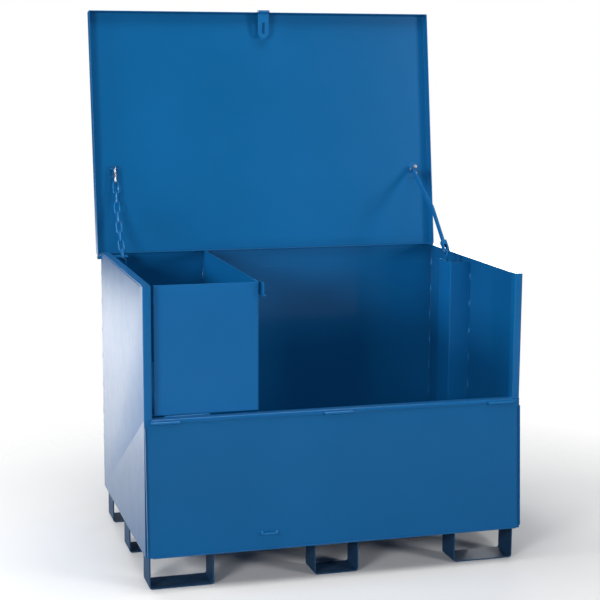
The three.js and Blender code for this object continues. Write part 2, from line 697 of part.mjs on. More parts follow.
function flapPan() {
  const reach = RIGHT - FLAP_SIDE_GAP;
  const bottom = FLAP_AXIS.z - FLAP_BELOW_AXIS;
  const rim = FRONT - FLAP_REST_GAP;
  const skin = block([-reach, reach], [FLAP_OUTER, FLAP_INNER], [bottom, FLAP_TOP]);
  const flangeZ = [bottom + FLAP_FLANGE_START, FLAP_TOP - FLAP_FLANGE_STOP];
  const flanges = [-1, 1].map((side) =>
    block(fromSide(side, FLAP_SIDE_GAP, FLAP_SIDE_GAP + FLAP_SHEET), [FLAP_OUTER, rim], flangeZ));
  const edgeReach = reach - FLAP_EDGE_INSET;
  const freeEdge = block([-edgeReach, edgeReach], [FLAP_OUTER, rim], [FLAP_TOP - FLAP_SHEET, FLAP_TOP]);
  const hingeEdgeX = [FLAP_HINGE_STARTS.left, FLAP_HINGE_STARTS.right + FLAP_HINGE_LENGTH];
  const hingeEdge = block(hingeEdgeX, [FLAP_OUTER, FLAP_AXIS.y], [bottom, bottom + FLAP_SHEET]);
  const notches = Object.values(FLAP_HINGE_STARTS).map((start) => block(
    [start - SEAM, start + FLAP_HINGE_LENGTH + SEAM],
    [FLAP_OUTER - CUT_OVERRUN, rim + CUT_OVERRUN],
    [bottom - CUT_OVERRUN, FLAP_AXIS.z + FLAP_KNUCKLE_RADIUS + SEAM],
  ));
  const pan = join(skin, ...flanges, freeEdge, hingeEdge);
  return notches.reduce((whole, notch) => whole.subtract(notch), pan);
}

flap('flap_panel', flapPan(), 'flap');
for (const [place, start] of Object.entries(FLAP_HINGE_STARTS)) {
  put(`flap_hinge_ledge_leaf_${place}`, ledgeLeaf(start), 'fittings');
  flap(`flap_hinge_knuckle_${place}`, flapKnuckle(start), 'fittings');
}

// Padlock eye: a plate on edge with a hole for the shackle
function padlockEye() {
  const z = FLAP_AXIS.z + EYE_HEIGHT_ABOVE_AXIS;
  const seat = FLAP_OUTER - SEAM;
  const tip = FLAP_OUTER - EYE_REACH;
  const half = EYE_HEIGHT / 2;
  const outline = [
    [seat, z - half],
    [seat, z + half],
    [tip + EYE_CORNER, z + half],
    [tip, z + half - EYE_CORNER],
    [tip, z - half + EYE_CORNER],
    [tip + EYE_CORNER, z - half],
  ];
  const thickness = [-EYE_THICKNESS / 2, EYE_THICKNESS / 2];
  const holeSpan = [thickness[0] - CUT_OVERRUN, thickness[1] + CUT_OVERRUN];
  const hole = barX(tip + EYE_CORNER, z, EYE_HOLE_RADIUS, holeSpan);
  return prismX(outline, thickness).subtract(hole);
}

flap('padlock_eye', padlockEye(), 'fittings');

// Keeper loop: a round bar bent to a U on the inner face of the flap
function keeperLoop() {
  const root = FLAP_INNER + SEAM;
  const bar = FLAP_INNER + KEEPER_STAND;
  const x0 = LEFT + KEEPER_LEFT;
  const x1 = x0 + KEEPER_SPAN;
  const at = (x, y) => new THREE.Vector3(x, y, KEEPER_HEIGHT);
  const legTop = bar - KEEPER_BEND;
  const [left, right] = [x0 + KEEPER_BEND, x1 - KEEPER_BEND];
  const path = new THREE.CurvePath();
  path.add(new THREE.LineCurve3(at(x0, root), at(x0, legTop)));
  path.add(new THREE.QuadraticBezierCurve3(at(x0, legTop), at(x0, bar), at(left, bar)));
  path.add(new THREE.LineCurve3(at(left, bar), at(right, bar)));
  path.add(new THREE.QuadraticBezierCurve3(at(right, bar), at(x1, bar), at(x1, legTop)));
  path.add(new THREE.LineCurve3(at(x1, legTop), at(x1, root)));
  const section = new THREE.Shape(new THREE.EllipseCurve(0, 0, KEEPER_BAR_RADIUS, KEEPER_BAR_RADIUS)
    .getPoints(WIRE_SIDES).slice(0, WIRE_SIDES));
  return solid(new THREE.ExtrudeGeometry(section, { steps: KEEPER_STEPS, extrudePath: path }));
}

flap('flap_keeper_loop', keeperLoop(), 'fittings');

// Hasp: a leaf on the rim of the lid with two knuckles carries a slotted strap that hangs by its own weight
const HASP_START = -HASP_WIDTH / 2;
const HASP_BARREL = [HASP_START, -HASP_START];
const haspSpans = [
  [HASP_BARREL[0], HASP_BARREL[0] + HASP_KNUCKLE_LENGTH - KNUCKLE_GAP],
  [HASP_BARREL[1] - HASP_KNUCKLE_LENGTH + KNUCKLE_GAP, HASP_BARREL[1]],
];
function haspRimLeaf() {
  const leafY = [LID_FRONT - SEAM - HASP_LEAF, LID_FRONT - SEAM];
  const leafX = [HASP_BARREL[0] + SEAM, HASP_BARREL[1] - SEAM];
  const leaf = block(leafX, leafY, [HASP_AXIS.z, LID_RIM + HASP_LEAF_HEIGHT]);
  const relief = block(
    [haspSpans[0][1], haspSpans[1][0]],
    [leafY[0] - CUT_OVERRUN, leafY[1] + CUT_OVERRUN],
    [HASP_AXIS.z - CUT_OVERRUN, HASP_AXIS.z + HASP_KNUCKLE_RADIUS + KNUCKLE_GAP],
  );
  const bore = barX(HASP_AXIS.y, HASP_AXIS.z, HASP_PIN_RADIUS + PIN_CLEARANCE, HASP_BARREL);
  const knuckles = haspSpans.map((span) => knuckle(HASP_AXIS, HASP_KNUCKLE_RADIUS, HASP_PIN_RADIUS, span));
  return join(leaf.subtract(relief).subtract(bore), ...knuckles);
}

lid('hasp_rim_leaf', haspRimLeaf(), 'fittings');
lid('hasp_pin', pin(HASP_AXIS, HASP_PIN_RADIUS, HASP_KNUCKLE_RADIUS - PIN_CLEARANCE, HASP_BARREL), 'steel');

function haspStrap() {
  const hang = lidAtRest(HASP_AXIS.y, HASP_AXIS.z);
  const half = HASP_WIDTH / 2;
  const point = HASP_POINT_WIDTH / 2;
  const shoulder = hang.z - HASP_KNUCKLE_RADIUS - KNUCKLE_GAP;
  const inner = HASP_BARREL[1] - HASP_KNUCKLE_LENGTH;
  const outline = [
    [-half, shoulder],
    [-half, hang.z - HASP_LENGTH + HASP_POINT_LENGTH],
    [-point, hang.z - HASP_LENGTH],
    [point, hang.z - HASP_LENGTH],
    [half, hang.z - HASP_LENGTH + HASP_POINT_LENGTH],
    [half, shoulder],
    [inner, shoulder],
    [inner, hang.z],
    [-inner, hang.z],
    [-inner, shoulder],
  ];
  const strapY = [hang.y + HASP_KNUCKLE_RADIUS - HASP_SHEET, hang.y + HASP_KNUCKLE_RADIUS];
  const slotZ = [hang.z - HASP_SLOT_DROP - HASP_SLOT_LENGTH, hang.z - HASP_SLOT_DROP];
  const slotX = [-HASP_SLOT_WIDTH / 2, HASP_SLOT_WIDTH / 2];
  const slot = block(slotX, [strapY[0] - CUT_OVERRUN, strapY[1] + CUT_OVERRUN], slotZ);
  const bore = barX(hang.y, hang.z, HASP_PIN_RADIUS + PIN_CLEARANCE, HASP_BARREL);
  const strap = prismY(outline, strapY).subtract(slot).subtract(bore);
  return join(strap, knuckle(hang, HASP_KNUCKLE_RADIUS, HASP_PIN_RADIUS, [-inner, inner]));
}

put('hasp_strap', haspStrap(), 'fittings');

// Stay: bracket and pin on the lid, cranked arm, knee pin, and drop bar in a guard
const STAY_X = RIGHT - STAY_INSET;
const STAY_PIN = { y: LID_AXIS.y - STAY_PIN_ALONG, z: LID_INNER - STAY_PIN_STAND };
const STAY_PIN_AT_REST = lidAtRest(STAY_PIN.y, STAY_PIN.z);
const STAY_KNEE = { y: FRONT + STAY_KNEE_BACKSET, z: TOP + STAY_KNEE_RISE };
const STAY_HALF = STAY_ARM_THICKNESS / 2;
const EAR_X = [STAY_X - STAY_HALF - BRACKET_EAR_GAP - BRACKET_SHEET, STAY_X - STAY_HALF - BRACKET_EAR_GAP];

function stayBracket() {
  const plateZ = [LID_INNER - SEAM - BRACKET_SHEET, LID_INNER - SEAM];
  const plateY = [STAY_PIN.y - BRACKET_LENGTH / 2, STAY_PIN.y + BRACKET_LENGTH / 2];
  const plate = block([EAR_X[0], EAR_X[0] + BRACKET_WIDTH], plateY, plateZ);
  const earY = [STAY_PIN.y - STAY_EYE_RADIUS, STAY_PIN.y + STAY_EYE_RADIUS];
  const ear = block(EAR_X, earY, [STAY_PIN.z, plateZ[1]]);
  const tip = barX(STAY_PIN.y, STAY_PIN.z, STAY_EYE_RADIUS, EAR_X);
  const bore = barX(STAY_PIN.y, STAY_PIN.z, STAY_PIN_RADIUS + PIN_CLEARANCE,
    [EAR_X[0] - CUT_OVERRUN, EAR_X[1] + CUT_OVERRUN]);
  return join(plate, ear, tip).subtract(bore);
}

function bracketBolt(end) {
  const x = EAR_X[0] + BRACKET_WIDTH - BRACKET_BOLT_EDGE;
  const y = STAY_PIN.y + (end * BRACKET_BOLT_SPACING) / 2;
  const seat = LID_INNER - SEAM - BRACKET_SHEET - SEAM;
  return barZ(x, y, BRACKET_BOLT_RADIUS, [seat - BRACKET_BOLT_HEIGHT, seat], HEX_SIDES);
}

lid('stay_bracket', stayBracket(), 'fittings');
lid('stay_bracket_bolt_upper', bracketBolt(-1), 'zinc');
lid('stay_bracket_bolt_lower', bracketBolt(1), 'zinc');
const stayTopPinSpan = [EAR_X[0] - SEAM, STAY_X + STAY_HALF + SEAM];
lid('stay_top_pin', pin(STAY_PIN, STAY_PIN_RADIUS, STAY_PIN_HEAD_RADIUS, stayTopPinSpan), 'zinc');

// The arm bends once, so that it clears the rim of the box when the lid is closed.
const stayChord = new THREE.Vector2(STAY_KNEE.y - STAY_PIN_AT_REST.y, STAY_KNEE.z - STAY_PIN_AT_REST.z);
const stayLine = stayChord.clone().normalize();
const STAY_CRANK = [
  STAY_PIN_AT_REST.y + stayChord.x * STAY_CRANK_SHARE + stayLine.y * STAY_CRANK_OFFSET,
  STAY_PIN_AT_REST.z + stayChord.y * STAY_CRANK_SHARE - stayLine.x * STAY_CRANK_OFFSET,
];
const forkLine = new THREE.Vector2(STAY_KNEE.y - STAY_CRANK[0], STAY_KNEE.z - STAY_CRANK[1]).normalize();

function stayArm() {
  const forkRoot = [STAY_KNEE.y - forkLine.x * FORK_LENGTH, STAY_KNEE.z - forkLine.y * FORK_LENGTH];
  const armX = [STAY_X - STAY_HALF, STAY_X + STAY_HALF];
  const armPath = [[STAY_PIN_AT_REST.y, STAY_PIN_AT_REST.z], STAY_CRANK, forkRoot];
  const arm = prismX(foldedStrip(armPath, STAY_ARM_WIDTH, STAY_CRANK_BEND), armX);
  const eye = barX(STAY_PIN_AT_REST.y, STAY_PIN_AT_REST.z, STAY_EYE_RADIUS, armX);
  const pad = FORK_GAP / 2;
  const earPath = [forkRoot, [STAY_KNEE.y, STAY_KNEE.z]];
  const earSpans = [[STAY_X - pad - FORK_EAR, STAY_X - pad], [STAY_X + pad, STAY_X + pad + FORK_EAR]];
  const ears = earSpans.map((span) => join(
    prismX(foldedStrip(earPath, STAY_ARM_WIDTH, 0), span),
    barX(STAY_KNEE.y, STAY_KNEE.z, STAY_ARM_WIDTH / 2, span),
  ));
  const rootEnd = [forkRoot[0] + forkLine.x * STAY_ARM_WIDTH, forkRoot[1] + forkLine.y * STAY_ARM_WIDTH];
  const bridge = prismX(foldedStrip([forkRoot, rootEnd], STAY_ARM_WIDTH, 0), [STAY_X - pad, STAY_X + pad]);
  const overrun = [STAY_X - pad - FORK_EAR - CUT_OVERRUN, STAY_X + pad + FORK_EAR + CUT_OVERRUN];
  const topBore = barX(STAY_PIN_AT_REST.y, STAY_PIN_AT_REST.z, STAY_PIN_RADIUS + PIN_CLEARANCE, overrun);
  const kneeBore = barX(STAY_KNEE.y, STAY_KNEE.z, STAY_PIN_RADIUS + PIN_CLEARANCE, overrun);
  return join(arm, eye, bridge, ...ears).subtract(topBore).subtract(kneeBore);
}

put('stay_arm', stayArm(), 'fittings');
const kneeHalf = FORK_GAP / 2 + FORK_EAR + SEAM;
const kneePinSpan = [STAY_X - kneeHalf, STAY_X + kneeHalf];
put('stay_knee_pin', pin(STAY_KNEE, STAY_PIN_RADIUS, STAY_PIN_HEAD_RADIUS, kneePinSpan), 'zinc');

// The drop bar hangs from the knee into the guard.
function dropBar() {
  const barXs = [STAY_X - DROP_BAR_THICKNESS / 2, STAY_X + DROP_BAR_THICKNESS / 2];
  const half = STAY_ARM_WIDTH / 2;
  const bladeZ = [STAY_KNEE.z - DROP_BAR_LENGTH, STAY_KNEE.z];
  const blade = block(barXs, [STAY_KNEE.y - half, STAY_KNEE.y + half], bladeZ);
  const head = barX(STAY_KNEE.y, STAY_KNEE.z, half, barXs);
  const bore = barX(STAY_KNEE.y, STAY_KNEE.z, STAY_PIN_RADIUS + PIN_CLEARANCE,
    [barXs[0] - CUT_OVERRUN, barXs[1] + CUT_OVERRUN]);
  return join(blade, head).subtract(bore);
}

put('stay_drop_bar', dropBar(), 'fittings');

function stayGuard() {
  const top = TOP - GUARD_TOP_DROP;
  const half = SHEET / 2;
  const guardLeft = RIGHT - GUARD_REACH;
  const front = FRONT + GUARD_FRONT;
  const path = [
    [RIGHT - SHEET - SEAM, front + half],
    [guardLeft + half, front + half],
    [guardLeft + half, front + GUARD_DEPTH],
  ];
  return prismZ(foldedStrip(path, SHEET, SHEET_BEND), [top - GUARD_HEIGHT, top]);
}

put('stay_guard', stayGuard(), 'inside');

// Chain: eye on the lid, quick link, and links down to the slotted tab under the left return
const CHAIN_X = LEFT + CHAIN_INSET;
const CHAIN_EYE = { y: LID_AXIS.y - CHAIN_EYE_ALONG, z: LID_INNER - CHAIN_EYE_STAND };
const CHAIN_TOP = lidAtRest(CHAIN_EYE.y, CHAIN_EYE.z);

function chainLidEye() {
  const halfWidth = CHAIN_EYE_WIDTH / 2;
  const halfSheet = CHAIN_EYE_SHEET / 2;
  const sheetY = [CHAIN_EYE.y - halfSheet, CHAIN_EYE.y + halfSheet];
  const tip = CHAIN_EYE.z - CHAIN_EYE_WEB / 2;
  const plate = block([CHAIN_X - halfWidth, CHAIN_X + halfWidth], sheetY, [tip, LID_INNER - SEAM]);
  const holeMiddle = CHAIN_EYE.z + CHAIN_EYE_WEB / 2 + CHAIN_EYE_HOLE_RADIUS;
  const hole = new THREE.CylinderGeometry(CHAIN_EYE_HOLE_RADIUS, CHAIN_EYE_HOLE_RADIUS,
    CHAIN_EYE_SHEET + CUT_OVERRUN, ROUND_SIDES);
  hole.translate(CHAIN_X, CHAIN_EYE.y, holeMiddle);
  return plate.subtract(solid(hole));
}

lid('chain_lid_eye', chainLidEye(), 'fittings');

// A link is a ring of wire, cut across the middle and pulled apart to its full length.
// It lies in the (x, z) plane with its middle at the origin.
function ringLink(wireRadius, innerWidth, innerLength) {
  const ringRadius = innerWidth / 2 + wireRadius;
  const ring = new THREE.TorusGeometry(ringRadius, wireRadius, WIRE_SIDES, LINK_SIDES);
  ring.rotateZ(Math.PI / LINK_SIDES);
  const stretch = (innerLength - innerWidth) / 2;
  const places = ring.attributes.position;
  for (let i = 0; i < places.count; i += 1) {
    places.setY(i, places.getY(i) + Math.sign(places.getY(i)) * stretch);
  }
  ring.rotateX(Math.PI / 2);
  return ring;
}

// The web of the lid eye turns freely inside the quick link.
const WEB_REACH = Math.hypot(CHAIN_EYE_WEB, CHAIN_EYE_SHEET) / 2 + SEAM;
const QUICK_MIDDLE = QUICK_INNER_LENGTH / 2 - WEB_REACH;
// From pivot to pivot, a face on link spans its own wires and an edge on link the wires inside it.
const FACE_ON_PITCH = CHAIN_INNER_LENGTH + 2 * CHAIN_WIRE_RADIUS;
const EDGE_ON_PITCH = CHAIN_INNER_LENGTH - 2 * (CHAIN_WIRE_RADIUS + SEAM);
const QUICK_PITCH = QUICK_INNER_LENGTH - WEB_REACH - SEAM - CHAIN_WIRE_RADIUS;

// The last link lies under the tab, and the tab under the top return. The chain leans forward
// just so far that it reaches down to the tab.
const TAB_TOP = TOP - SHEET - SHEET_BEND - SEAM;
const TAB_BOTTOM = TAB_TOP - TAB_SHEET;
const CHAIN_FALL = CHAIN_TOP.z - (TAB_BOTTOM - SEAM - CHAIN_WIRE_RADIUS);
const BEND = THREE.MathUtils.degToRad(CHAIN_BEND);
const PITCHES = Array.from({ length: CHAIN_LINKS }, (_, index) => {
  const linkPitch = index % 2 === 0 ? EDGE_ON_PITCH : FACE_ON_PITCH;
  return index === 0 ? QUICK_PITCH : linkPitch;
});
const REACH_DOWN = PITCHES.reduce((sum, pitch, index) => sum + pitch * Math.cos(index * BEND), 0);
const REACH_ALONG = PITCHES.reduce((sum, pitch, index) => sum + pitch * Math.sin(index * BEND), 0);
const FIRST_LEAN = Math.acos(CHAIN_FALL / Math.hypot(REACH_DOWN, REACH_ALONG))
  - Math.atan2(REACH_ALONG, REACH_DOWN);

// Pivots of the quick link and of each link, from the lid eye down
const PIVOTS = PITCHES.reduce((list, pitch, index) => {
  const lean = FIRST_LEAN + index * BEND;
  const { y, z } = list[index];
  return [...list, { y: y - pitch * Math.sin(lean), z: z - pitch * Math.cos(lean) }];
}, [CHAIN_TOP]);

// Turns a link on its long axis if it lies edge on, leans it forward and hangs it so that its
// pivot lies at the given height above its middle.
function onChain(geometry, { y, z }, lean, pivotRise, edgeOn) {
  if (edgeOn) {
    geometry.rotateZ(Math.PI / 2);
  }
  geometry.translate(0, 0, -pivotRise);
  geometry.rotateX(-lean);
  geometry.translate(CHAIN_X, y, z);
  return solid(geometry);
}

function quickLink() {
  const ring = ringLink(QUICK_WIRE_RADIUS, QUICK_INNER_WIDTH, QUICK_INNER_LENGTH);
  const sleeve = new THREE.CylinderGeometry(
    QUICK_SLEEVE_RADIUS, QUICK_SLEEVE_RADIUS, QUICK_SLEEVE_LENGTH, HEX_SIDES);
  sleeve.rotateX(Math.PI / 2);
  sleeve.translate(-QUICK_INNER_WIDTH / 2 - QUICK_WIRE_RADIUS, 0, 0);
  const [body, nut] = [ring, sleeve].map((shape) =>
    onChain(shape, CHAIN_TOP, FIRST_LEAN, QUICK_MIDDLE, true));
  return join(body, nut);
}

// An edge on link hangs with its inside on the wire of the link above, and a face on link hangs
// by the middle of its own wire.
function chainLink(index) {
  const edgeOn = index % 2 === 0;
  const ring = ringLink(CHAIN_WIRE_RADIUS, CHAIN_INNER_WIDTH, CHAIN_INNER_LENGTH);
  const half = CHAIN_INNER_LENGTH / 2;
  const pivotRise = edgeOn ? half - CHAIN_WIRE_RADIUS - SEAM : half + CHAIN_WIRE_RADIUS;
  const lean = index === CHAIN_LINKS ? 0 : FIRST_LEAN + index * BEND;
  return onChain(ring, PIVOTS[index], lean, pivotRise, edgeOn);
}

put('chain_quick_link', quickLink(), 'zinc');
for (let index = 1; index <= CHAIN_LINKS; index += 1) {
  put(`chain_link_${index}`, chainLink(index), 'fittings');
}

const LAST_PIVOT = PIVOTS[CHAIN_LINKS];

// Wall tab: its slot is open to the front, so the chain can be lifted out of it.
function chainWallTab() {
  const reach = CHAIN_X + TAB_SLOT_WIDTH / 2 + TAB_PRONG;
  const y = [LAST_PIVOT.y - TAB_NOSE, LAST_PIVOT.y + TAB_SLOT_DEPTH + TAB_WEB];
  const plate = block([LEFT + SHEET + SEAM, reach], y, [TAB_BOTTOM, TAB_TOP]);
  const slot = block(
    [CHAIN_X - TAB_SLOT_WIDTH / 2, CHAIN_X + TAB_SLOT_WIDTH / 2],
    [y[0] - CUT_OVERRUN, LAST_PIVOT.y + TAB_SLOT_DEPTH],
    [TAB_BOTTOM - CUT_OVERRUN, TAB_TOP + CUT_OVERRUN],
  );
  return plate.subtract(slot);
}

put('chain_wall_tab', chainWallTab(), 'fittings');

export default model;
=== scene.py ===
# %% [markdown]
# # A jobsite storage box, dressed for a studio picture
#
# The box is welded from folded steel sheet and sprayed with one glossy blue enamel. Its solids
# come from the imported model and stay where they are. This lesson gives them real edges and a
# believable paint, forges a proper chain, lays the weld beads and lights the scene.

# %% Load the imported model
import json
import math
import bpy
import numpy as np
from mathutils import Matrix, Vector

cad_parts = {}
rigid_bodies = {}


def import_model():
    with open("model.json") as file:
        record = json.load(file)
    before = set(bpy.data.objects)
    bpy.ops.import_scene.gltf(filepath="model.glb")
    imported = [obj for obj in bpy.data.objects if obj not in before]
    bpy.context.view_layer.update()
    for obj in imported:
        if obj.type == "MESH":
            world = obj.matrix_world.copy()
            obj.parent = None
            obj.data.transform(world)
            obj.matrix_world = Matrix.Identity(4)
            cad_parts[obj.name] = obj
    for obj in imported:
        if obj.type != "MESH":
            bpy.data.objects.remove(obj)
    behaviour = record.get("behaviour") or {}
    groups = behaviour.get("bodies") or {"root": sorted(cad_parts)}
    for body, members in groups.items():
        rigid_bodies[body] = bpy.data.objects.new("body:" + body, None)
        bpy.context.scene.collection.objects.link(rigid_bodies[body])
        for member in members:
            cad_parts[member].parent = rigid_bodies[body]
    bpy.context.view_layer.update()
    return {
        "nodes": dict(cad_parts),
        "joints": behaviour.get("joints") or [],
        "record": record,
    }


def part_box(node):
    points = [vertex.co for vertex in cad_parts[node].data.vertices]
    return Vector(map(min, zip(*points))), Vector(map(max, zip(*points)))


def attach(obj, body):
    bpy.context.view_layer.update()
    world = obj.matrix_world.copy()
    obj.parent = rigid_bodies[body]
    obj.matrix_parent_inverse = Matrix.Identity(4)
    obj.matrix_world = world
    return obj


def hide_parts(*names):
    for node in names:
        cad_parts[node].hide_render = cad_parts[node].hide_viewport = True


for leftover in list(bpy.data.objects):
    bpy.data.objects.remove(leftover)
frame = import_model()


# %% [markdown]
# ## The camera
#
# A camera is a place, a direction and a focal length. They could be tried by eye, but the box
# has many straight corners, so they were worked out from the corners instead: the picture was
# taken from the front left, well above the rim, with a long lens. The columns of the camera's
# matrix are its right, its up and its backward direction.

# %% Camera
CAMERA_PLACE = (-1.3686, -4.7610, 1.6160)
CAMERA_YAW = 0.27818
CAMERA_PITCH = 0.163045
CAMERA_ROLL = 0.005657
CAMERA_LENS = 91.964
SENSOR_WIDTH = 36.0
FAR_CLIP = 200.0
BOX_MIDDLE = (0.0, 0.0, 0.8)


def camera_matrix(place, yaw, pitch, roll):
    """Right and forward lie level and are turned by yaw, forward is tipped down by pitch, and
    right and up are then turned about forward by roll."""
    level_right = np.array([math.cos(yaw), -math.sin(yaw), 0.0])
    level_forward = np.array([math.sin(yaw), math.cos(yaw), 0.0])
    plumb = np.array([0.0, 0.0, 1.0])
    forward = level_forward * math.cos(pitch) - plumb * math.sin(pitch)
    tipped_up = plumb * math.cos(pitch) + level_forward * math.sin(pitch)
    right = level_right * math.cos(roll) + tipped_up * math.sin(roll)
    up = tipped_up * math.cos(roll) - level_right * math.sin(roll)
    matrix = Matrix.Identity(4)
    for row in range(3):
        matrix[row] = (right[row], up[row], -forward[row], place[row])
    return matrix


camera_data = bpy.data.cameras.new("picture_camera")
camera_data.sensor_width = SENSOR_WIDTH
camera_data.sensor_fit = 'HORIZONTAL'
camera_data.lens = CAMERA_LENS
camera_data.clip_end = FAR_CLIP
camera = bpy.data.objects.new("picture_camera", camera_data)
bpy.context.scene.collection.objects.link(camera)
camera.matrix_world = camera_matrix(CAMERA_PLACE, CAMERA_YAW, CAMERA_PITCH, CAMERA_ROLL)
bpy.context.scene.camera = camera
print("camera stands", round(math.dist(CAMERA_PLACE, BOX_MIDDLE), 2), "m from the box")

# %% [markdown]
# ## Small helpers for node trees
#
# A node material is a graph. A few short helpers keep each recipe below readable: they add a
# node, join two sockets, open a group with named inputs and outputs and place it, and stand for
# the arithmetic, the blends and the noises that every finish needs.


# %% Node helpers
def add(tree, kind, **settings):
    """One new node with its properties set."""
    made = tree.nodes.new(kind)
    for key, value in settings.items():
        setattr(made, key, value)
    return made


def join(tree, start, end):
    """Leads an output to an input."""
    tree.links.new(start, end)


def open_group(name, inputs, outputs):
    """A shader node group. Inputs and outputs are lists of (name, socket type, default)."""
    group = bpy.data.node_groups.new(name, 'ShaderNodeTree')
    for way, sockets in (('INPUT', inputs), ('OUTPUT', outputs)):
        for label, kind, default in sockets:
            made = group.interface.new_socket(name=label, in_out=way, socket_type=kind)
            if default is not None:
                made.default_value = default
    return group, group.nodes.new('NodeGroupInput'), group.nodes.new('NodeGroupOutput')


def place_group(tree, group, **values):
    """A group node with its own values. An underscore stands for the space in a socket's name."""
    made = add(tree, 'ShaderNodeGroup')
    made.node_tree = group
    for key, value in values.items():
        made.inputs[key.replace('_', ' ')].default_value = value
    return made


def maths(tree, kind, a, b=None, clamp=False):
    """One arithmetic node. Each operand is a socket or a number."""
    made = add(tree, 'ShaderNodeMath', operation=kind, use_clamp=clamp)
    for slot, operand in enumerate((a, b)):
        if operand is None:
            continue
        if isinstance(operand, (int, float)):
            made.inputs[slot].default_value = operand
        else:
            join(tree, operand, made.inputs[slot])
    return made.outputs[0]


# Where the mix node keeps its two colours and their blend
COLOUR_LOW, COLOUR_HIGH, COLOUR_BLEND = 6, 7, 2


def blend_colours(tree, mask, low, high):
    """Goes from the low colour to the high colour as the mask goes from 0 to 1."""
    made = add(tree, 'ShaderNodeMix', data_type='RGBA')
    join(tree, mask, made.inputs[0])
    for slot, colour in ((COLOUR_LOW, low), (COLOUR_HIGH, high)):
        if isinstance(colour, tuple):
            made.inputs[slot].default_value = colour
        else:
            join(tree, colour, made.inputs[slot])
    return made.outputs[COLOUR_BLEND]


def noise(tree, place, scale, detail=2.0, roughness=0.5):
    """A cloudy noise from 0 to 1. Its scale is a number or a socket."""
    made = add(tree, 'ShaderNodeTexNoise')
    made.inputs['Detail'].default_value = detail
    made.inputs['Roughness'].default_value = roughness
    join(tree, place, made.inputs['Vector'])
    if isinstance(scale, (int, float)):
        made.inputs['Scale'].default_value = scale
    else:
        join(tree, scale, made.inputs['Scale'])
    return made.outputs['Fac']


def window(tree, value, low, high):
    """0 below low, 1 above high, and a straight ramp between."""
    made = add(tree, 'ShaderNodeMapRange', clamp=True)
    made.inputs['From Min'].default_value = low
    made.inputs['From Max'].default_value = high
    join(tree, value, made.inputs['Value'])
    return made.outputs['Result']


print("eight helpers for node trees are ready")

# %% [markdown]
# ## What sprayed enamel does
#
# Sprayed enamel never dries dead flat. Up close it has a fine orange peel, and a big thin sheet
# under it is never quite flat either, so reflections swim a little. Both are far too shallow to
# model, so one group turns two noises into a bent normal. The peel is a fine noise, the sheet's
# swim is a very coarse one, and each height is given in metres.

# %% Group: orange peel over a swimming sheet
VECTOR, FLOAT, COLOUR = 'NodeSocketVector', 'NodeSocketFloat', 'NodeSocketColor'
peel_group, peel_in, peel_out = open_group(
    "sprayed_surface",
    [("Place", VECTOR, None), ("Peel Fineness", FLOAT, 420.0), ("Peel Height", FLOAT, 0.00001),
     ("Swim Fineness", FLOAT, 3.0), ("Swim Height", FLOAT, 0.0006)],
    [("Normal", VECTOR, None)],
)
swim = add(peel_group, 'ShaderNodeBump')
swim_noise = noise(peel_group, peel_in.outputs['Place'], peel_in.outputs['Swim Fineness'], 1.0)
join(peel_group, swim_noise, swim.inputs['Height'])
join(peel_group, peel_in.outputs['Swim Height'], swim.inputs['Distance'])
peel = add(peel_group, 'ShaderNodeBump')
peel_noise = noise(peel_group, peel_in.outputs['Place'], peel_in.outputs['Peel Fineness'], 2.0)
join(peel_group, peel_noise, peel.inputs['Height'])
join(peel_group, peel_in.outputs['Peel Height'], peel.inputs['Distance'])
join(peel_group, swim.outputs['Normal'], peel.inputs['Normal'])
join(peel_group, peel.outputs['Normal'], peel_out.inputs['Normal'])
print("group", peel_group.name, "bends the normal")

# %% [markdown]
# ## Wear on the edges
#
# Paint goes first where the sheet turns a corner. A mask for that could be painted by hand, but
# the renderer can find edges itself: a normal that is averaged over a few millimetres differs
# from the true one only near an edge. A noise breaks that band up into chips, and a second,
# stricter threshold gives the few spots that are down to bare steel.

# %% Group: worn edges
BEVEL_SAMPLES = 6
EDGE_BAND = (0.02, 0.30)
PATCH_FINENESS = 7.0
WEAR_GAIN = 10.0
SCUFFED_BAND = (0.55, 0.95)
BARE_BAND = (0.95, 1.20)
wear_group, wear_in, wear_out = open_group(
    "worn_edges",
    [("Place", VECTOR, None), ("Reach", FLOAT, 0.003), ("Amount", FLOAT, 0.3),
     ("Chip Fineness", FLOAT, 90.0)],
    [("Scuffed", FLOAT, None), ("Bare", FLOAT, None)],
)
softened = add(wear_group, 'ShaderNodeBevel', samples=BEVEL_SAMPLES)
join(wear_group, wear_in.outputs['Reach'], softened.inputs['Radius'])
true_normal = add(wear_group, 'ShaderNodeNewGeometry')
agreement = add(wear_group, 'ShaderNodeVectorMath', operation='DOT_PRODUCT')
join(wear_group, softened.outputs['Normal'], agreement.inputs[0])
join(wear_group, true_normal.outputs['Normal'], agreement.inputs[1])
bending = maths(wear_group, 'SUBTRACT', 1.0, agreement.outputs['Value'])
edge_band = window(wear_group, bending, *EDGE_BAND)
chips = noise(wear_group, wear_in.outputs['Place'], wear_in.outputs['Chip Fineness'], 5.0, 0.65)
patches = noise(wear_group, wear_in.outputs['Place'], PATCH_FINENESS, 2.0)
rubbed = maths(wear_group, 'MULTIPLY', edge_band, maths(wear_group, 'MULTIPLY', chips, patches))
strength = maths(wear_group, 'MULTIPLY', wear_in.outputs['Amount'], WEAR_GAIN)
pressure = maths(wear_group, 'MULTIPLY', rubbed, strength)
join(wear_group, window(wear_group, pressure, *SCUFFED_BAND), wear_out.inputs['Scuffed'])
join(wear_group, window(wear_group, pressure, *BARE_BAND), wear_out.inputs['Bare'])
print("group", wear_group.name, "finds edges and chips them")

# %% [markdown]
# ## Tone, dust and handling
#
# One coat of blue is not one number. The film is a little thicker here and thinner there, level
# faces catch dust, and hands and tools leave dull places. This group puts out a paint colour
# that drifts slowly, a dust mask that looks at how level the face is, and a dulling mask.

